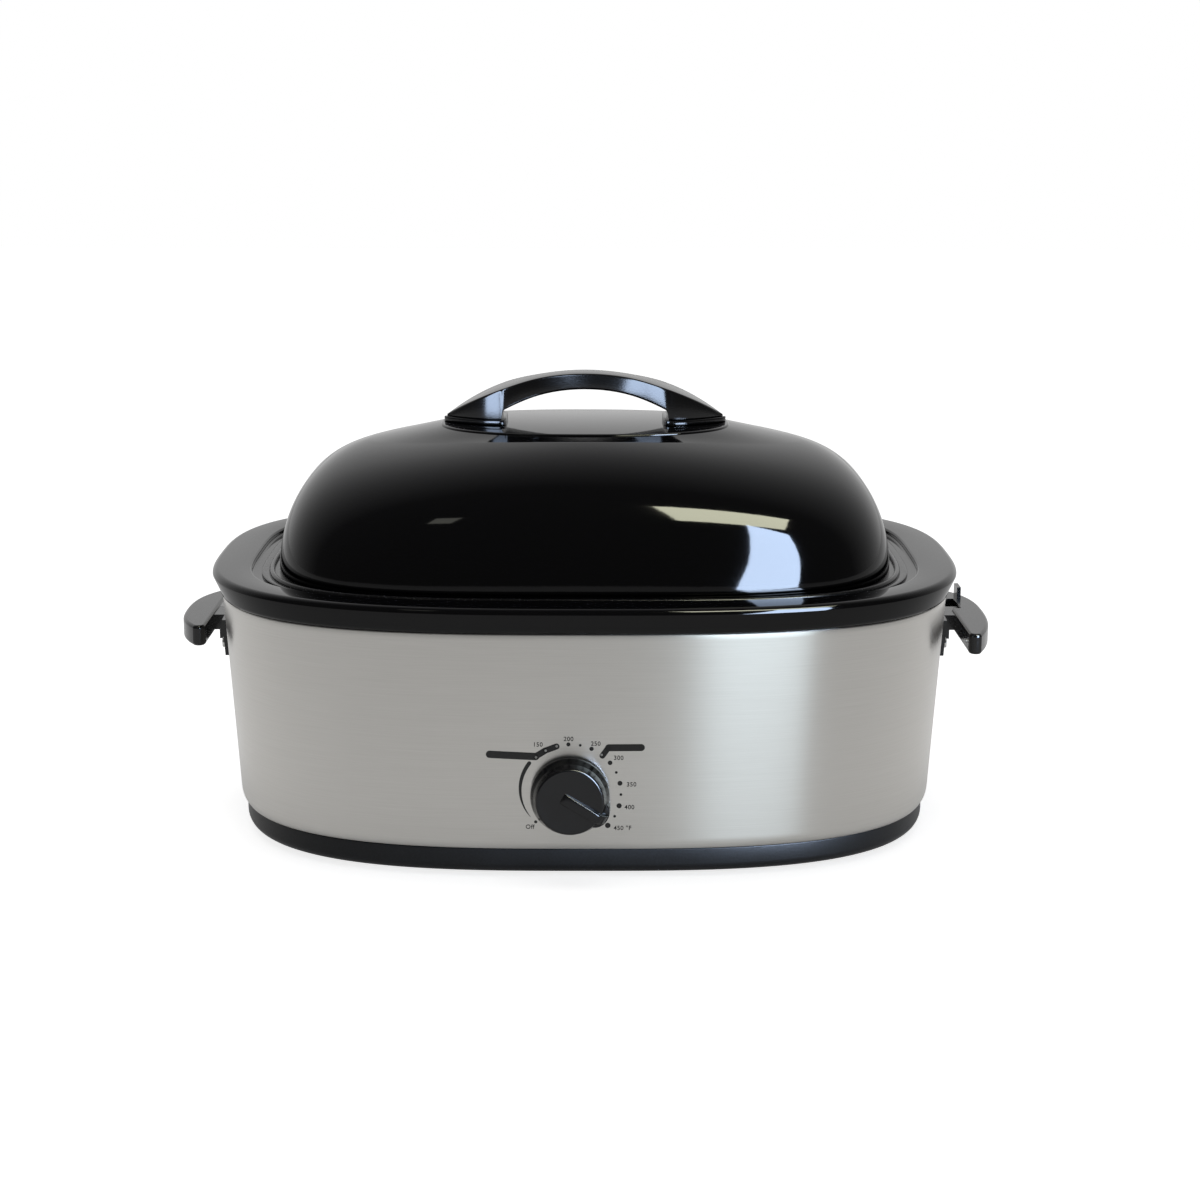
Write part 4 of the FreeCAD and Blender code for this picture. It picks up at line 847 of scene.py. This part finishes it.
def bar_section(share):
    """One section across the raised bar, from its inner end at 0 to the pointer at 1."""
    face = knob_gap + knob_height
    end = knob_radius + nose_reach - bar_end_gap
    along = bar_start + (end - bar_start) * share
    rise = bar_rise * min(1, ((along - bar_start) / bar_ramp)) ** bar_ramp_power
    if along > bar_fall_start:
        rise -= (along - bar_fall_start) ** 2 * bar_fall_rate
    foot = face - bar_root
    if along >= bar_root_fall_start:
        foot -= (along - bar_root_fall_start) * bar_root_fall_rate
    foot = max(foot, knob_gap + nose_height - 1)
    half = bar_half_width - bar_narrowing * share
    top = max(face + rise, foot + 1.0)
    edge = bar_edge_radius
    profile = [(half + bar_foot_spread, foot), (half, top - edge)]
    for turn in (0.25, 0.5, 0.75, 1.0):
        angle = quarter_turn * turn
        profile.append((half - edge * (1 - math.cos(angle)), top - edge * (1 - math.sin(angle))))
    ring = [dial_point(across, along, out) for across, out in profile]
    ring += [dial_point(-across, along, out) for across, out in profile[::-1]]
    return ring


def knob_bar():
    """The raised bar from near the middle out to the pointer."""
    sections = [bar_section(share) for share in np.linspace(0, 1, bar_sections)]
    return skin("knob_bar", sections, knob_plastic, cap_first=True, cap_last=True)


def make_knob():
    bar = knob_bar()
    knob = join("knob_visual", [knob_body(), bar])
    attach(knob, "dial")
    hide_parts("knob")
    return knob


# Dial marks
def dial_spot(x, z, lift):
    """A point on the band, counted from the dial's middle."""
    return on_band(control_x + x, control_z + z, lift)


def round_the_dial(degrees, radius):
    """A place clockwise from the top of the ring of marks."""
    turn = math.radians(degrees)
    return (mark_centre[0] + radius * math.sin(turn), mark_centre[1] + radius * math.cos(turn))


def mark_place(steps):
    """The place of a mark, counted in steps clockwise from 200 degrees."""
    return round_the_dial(mark_start + mark_step * steps, mark_radius)


def slab(outline, lift):
    """The points and faces of a flat outline printed on the band."""
    count = len(outline)
    top = [dial_spot(x, z, lift + print_height) for x, z in outline]
    foot = [dial_spot(x, z, 0.0) for x, z in outline]
    faces = [tuple(range(count))]
    for index in range(count):
        after = (index + 1) % count
        faces.append((index, after, count + after, count + index))
    return top + foot, faces


def printed(name, outlines, material, lift=0.0):
    """One piece from several printed outlines."""
    vertices = []
    faces = []
    for outline in outlines:
        points, sides = slab(outline, lift)
        start = len(vertices)
        vertices += points
        faces += [tuple(start + index for index in face) for face in sides]
    piece = mesh_object(name, vertices, faces, material)
    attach(piece, "housing")


def disc(centre, radius):
    turns = [2 * math.pi * index / disc_points for index in range(disc_points)]
    return [(centre[0] + radius * math.cos(t), centre[1] + radius * math.sin(t)) for t in turns]


def stroke(start, end, width):
    """The outline of a round-ended stroke, in short lengths that follow the band."""
    along = np.array(end) - np.array(start)
    length = np.hypot(*along)
    direction = along / length
    side = np.array([-direction[1], direction[0]]) * width / 2
    shapes = [disc(start, width / 2), disc(end, width / 2)]
    pieces = max(1, int(length / stroke_run))
    for index in range(pieces):
        first = np.array(start) + along * index / pieces
        second = np.array(start) + along * (index + 1) / pieces
        shapes.append([tuple(first + side), tuple(first - side), tuple(second - side), tuple(second + side)])
    return shapes


def crescent():
    """The tapered arc from the warm setting down to off."""
    edges = []
    for index in range(arc_steps + 1):
        share = index / arc_steps
        degrees = arc_start + arc_sweep * share
        radius = 35.3 - 2.9 * share ** 2
        half = 0.15 + 1.2 * (1 - share ** 1.6)
        edges.append([round_the_dial(degrees, radius - half), round_the_dial(degrees, radius + half)])
    shapes = []
    for first, second in zip(edges, edges[1:]):
        shapes.append([first[0], first[1], second[1], second[0]])
    middle = np.mean(edges[0], axis=0)
    shapes.append(disc(middle, 1.35))
    return shapes


def make_dots():
    """Large dots at the numbers, small ones between, one at off, and the pale ones on the tags."""
    black = []
    for index, steps in enumerate(range(0, 11, 2)):
        black.append(disc(mark_place(steps), 1.4 + 0.1 * index))
    for steps in (1, 5, 7, 9):
        black.append(disc(mark_place(steps), 0.95))
    black.append(disc(round_the_dial(off_angle, off_radius), 1.1))
    printed("dial_dots", black + crescent(), print_black)
    white = [disc(mark_place(steps), 0.85) for steps in (-3, -2, -1, 3)]
    printed("dial_pale_dots", white, print_white, pale_dot_lift)


def make_tags():
    """The two black tags that hold the pale dots, left bare."""
    warm = stroke((-55.0, 28.3), (-23.6, 27.0), 5.2)
    warm += stroke((-23.6, 27.0), (-17.0, 31.2), 4.4)
    warm += stroke((-17.0, 31.2), (-9.2, 34.2), 4.2)
    thaw = stroke((22.2, 27.6), (26.0, 33.0), 4.0)
    thaw += stroke((26.5, 33.3), (48.8, 33.4), 4.9)
    printed("dial_tags", warm + thaw, print_black, tag_lift)


def text_mesh(text, name):
    """The flat mesh of a centred text."""
    curve = bpy.data.curves.new(name, "FONT")
    curve.body = text
    curve.size = label_size
    curve.align_x = "CENTER"
    curve.align_y = "CENTER"
    curve.space_character = label_spacing
    curve.resolution_u = 6
    curve.offset = label_size * label_weight
    holder = bpy.data.objects.new(name, curve)
    bpy.context.scene.collection.objects.link(holder)
    graph = bpy.context.evaluated_depsgraph_get()
    flat = bpy.data.meshes.new_from_object(holder.evaluated_get(graph))
    bpy.data.objects.remove(holder)
    return flat


def make_label(text, x, z, name):
    """A printed number or word, its outlines laid on the band."""
    work = bmesh.new()
    work.from_mesh(text_mesh(text, name))
    upper = list(work.faces)
    rise = bmesh.ops.extrude_face_region(work, geom=upper)
    raised = {v for v in rise["geom"] if isinstance(v, bmesh.types.BMVert)}
    for vertex in work.verts:
        lift = print_height if vertex in raised else 0.0
        vertex.co = metres(dial_spot(x + vertex.co.x, z + vertex.co.y, lift))
    bmesh.ops.recalc_face_normals(work, faces=work.faces)
    mesh = bpy.data.meshes.new(name)
    work.to_mesh(mesh)
    work.free()
    mesh.materials.append(print_black)
    piece = bpy.data.objects.new(name, mesh)
    bpy.context.scene.collection.objects.link(piece)
    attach(piece, "housing")


def make_labels():
    make_label("150", -22.0, 35.4, "label_150")
    make_label("200", -1.0, 39.4, "label_200")
    make_label("250", 17.6, 36.1, "label_250")
    make_label("300", 33.3, 26.0, "label_300")
    make_label("350", 42.2, 7.0, "label_350")
    make_label("400", 40.9, -9.3, "label_400")
    make_label("450 °F", 36.2, -24.3, "label_450")
    make_label("Off", -27.6, -23.5, "label_off")


# Studio
def make_camera():
    """The fitted camera of the photograph, a little above the object and looking slightly down."""
    data = bpy.data.cameras.new("camera")
    data.sensor_width = 36.0
    data.lens = 69.74
    camera = bpy.data.objects.new("camera", data)
    bpy.context.scene.collection.objects.link(camera)
    turn = Matrix.Rotation(math.radians(-0.381), 4, "Z")
    tilt = Matrix.Rotation(math.radians(77.434), 4, "X")
    roll = Matrix.Rotation(math.radians(0.142), 4, "Z")
    camera.matrix_world = Matrix.Translation((0.000007, -1.72199, 0.53815)) @ turn @ tilt @ roll
    bpy.context.scene.camera = camera


def aimed(place, target):
    """The turn that makes a light at a place face a target."""
    return (Vector(target) - Vector(place)).to_track_quat("-Z", "Y").to_euler()


def make_light(name, place, turn, size, power, colour):
    """An area light that the camera doesn't see; with no turn it faces straight down."""
    data = bpy.data.lights.new(name, "AREA")
    data.shape = "RECTANGLE"
    data.size = size[0]
    data.size_y = size[1]
    data.energy = power
    data.color = colour
    light = bpy.data.objects.new(name, data)
    bpy.context.scene.collection.objects.link(light)
    light.location = place
    light.rotation_euler = turn
    light.visible_camera = False
    return light


def only_lights(light, pieces):
    """Keeps a light to some of the pieces."""
    group = bpy.data.collections.new(light.name + "_pieces")
    for piece in pieces:
        group.objects.link(piece)
    light.light_linking.receiver_collection = group


def make_lights(band, lid_handle, others):
    """A tall window at the right for the gloss, its lower pane for the steel, and soft light from above.

    The lid's handle has a window of its own, which puts the highlight on its right leg.
    """
    upright = math.radians(90)
    lean = math.radians(15)
    daylight = (0.59, 0.74, 1.0)
    window = make_light("window", (2.0, -2.4, 1.8), (upright, lean, 0), (1.3, 4.0), 830, daylight)
    window.visible_diffuse = False
    only_lights(window, others)
    pane_place = (1.17, -2.4, 0.62)
    pane = make_light("window_pane", pane_place, (upright, 0, 0), (1.37, 1.2), 20, (0.74, 0.89, 1.0))
    only_lights(pane, [band])
    ceiling_place = (1.77, -1.95, 4.0)
    ceiling = make_light("ceiling_glow", ceiling_place, (0, 0, lean), (2.45, 1.2), 240, (1.0, 1.0, 0.76))
    ceiling.visible_diffuse = False
    only_lights(ceiling, others)
    arch = make_light("arch_window", (-1.3, -2.4, 1.95), (upright, 0, 0), (1.9, 3.9), 480, daylight)
    arch.visible_diffuse = False
    only_lights(arch, [lid_handle])
    far_place = (-1.3, -2.08, 3.5)
    far_turn = aimed(far_place, (0, 0, 0.24))
    far = make_light("far_glow", far_place, far_turn, (0.45, 0.35), 1.2, (1.0, 1.0, 0.88))
    far.visible_diffuse = False
    over_place = (0, 0.2, 2.6)
    over_turn = aimed(over_place, (0, 0, 0))
    overhead = make_light("overhead", over_place, over_turn, (2.2, 1.6), 24, (1, 1, 1))
    overhead.visible_glossy = False


def make_world():
    """A room that is paler behind the object than in front, and white to the camera."""
    world = bpy.data.worlds.new("studio")
    bpy.context.scene.world = world
    world.use_nodes = True
    nodes = world.node_tree.nodes
    links = world.node_tree.links
    background = nodes["Background"]
    place = nodes.new("ShaderNodeTexCoord")
    axes = nodes.new("ShaderNodeSeparateXYZ")
    links.new(place.outputs["Generated"], axes.inputs["Vector"])
    shade = nodes.new("ShaderNodeMapRange")
    shade.inputs["From Min"].default_value = -0.05
    shade.inputs["From Max"].default_value = 0.8
    shade.inputs["To Min"].default_value = 0.13
    shade.inputs["To Max"].default_value = 0.74
    links.new(axes.outputs["Y"], shade.inputs["Value"])
    rays = nodes.new("ShaderNodeLightPath")
    mix = nodes.new("ShaderNodeMix")
    mix.data_type = "FLOAT"
    links.new(rays.outputs["Is Camera Ray"], mix.inputs["Factor"])
    links.new(shade.outputs["Result"], mix.inputs[2])
    mix.inputs[3].default_value = 1.0
    links.new(mix.outputs[0], background.inputs["Strength"])
    background.inputs["Color"].default_value = (1, 1, 1, 1)


def floor_material():
    """White, and lit a little from within so that only the shadow close to the object shows."""
    glow_in_mirrors = 0.28
    glow_to_camera = 0.8
    material, nodes, links = new_material("floor_white")
    shader = nodes["Principled BSDF"]
    shader.inputs["Base Color"].default_value = (0.75, 0.75, 0.75, 1)
    shader.inputs["Roughness"].default_value = 0.9
    shader.inputs["Specular IOR Level"].default_value = 0.0
    rays = nodes.new("ShaderNodeLightPath")
    glossy = nodes.new("ShaderNodeMath")
    glossy.operation = "ADD"
    links.new(rays.outputs["Is Glossy Ray"], glossy.inputs[0])
    links.new(rays.outputs["Is Transmission Ray"], glossy.inputs[1])
    seen = nodes.new("ShaderNodeMath")
    seen.operation = "MULTIPLY_ADD"
    seen.inputs[1].default_value = glow_in_mirrors
    links.new(glossy.outputs["Value"], seen.inputs[0])
    direct = nodes.new("ShaderNodeMath")
    direct.operation = "MULTIPLY"
    direct.inputs[1].default_value = glow_to_camera
    links.new(rays.outputs["Is Camera Ray"], direct.inputs[0])
    links.new(direct.outputs["Value"], seen.inputs[2])
    links.new(seen.outputs["Value"], shader.inputs["Emission Strength"])
    shader.inputs["Emission Color"].default_value = (1, 1, 1, 1)
    return material


def make_floor():
    mesh = bpy.data.meshes.new("floor")
    reach = 6.0
    corners = [(-reach, -reach, 0), (reach, -reach, 0), (reach, reach, 0), (-reach, reach, 0)]
    mesh.from_pydata(corners, [], [(0, 1, 2, 3)])
    mesh.materials.append(floor_material())
    floor = bpy.data.objects.new("floor", mesh)
    bpy.context.scene.collection.objects.link(floor)


bpy.context.scene.view_settings.view_transform = "Standard"
make_camera()
make_world()
make_floor()
dress_nodes()
band = make_side_band()
lid_handle = make_lid_handle()
glossy_pieces = [make_collar(), make_base(), make_cookwell(), make_lid(), make_knob()]
glossy_pieces += [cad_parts["left_handle"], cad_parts["right_handle"]]
make_lights(band, lid_handle, glossy_pieces)
make_dots()
make_tags()
make_labels()
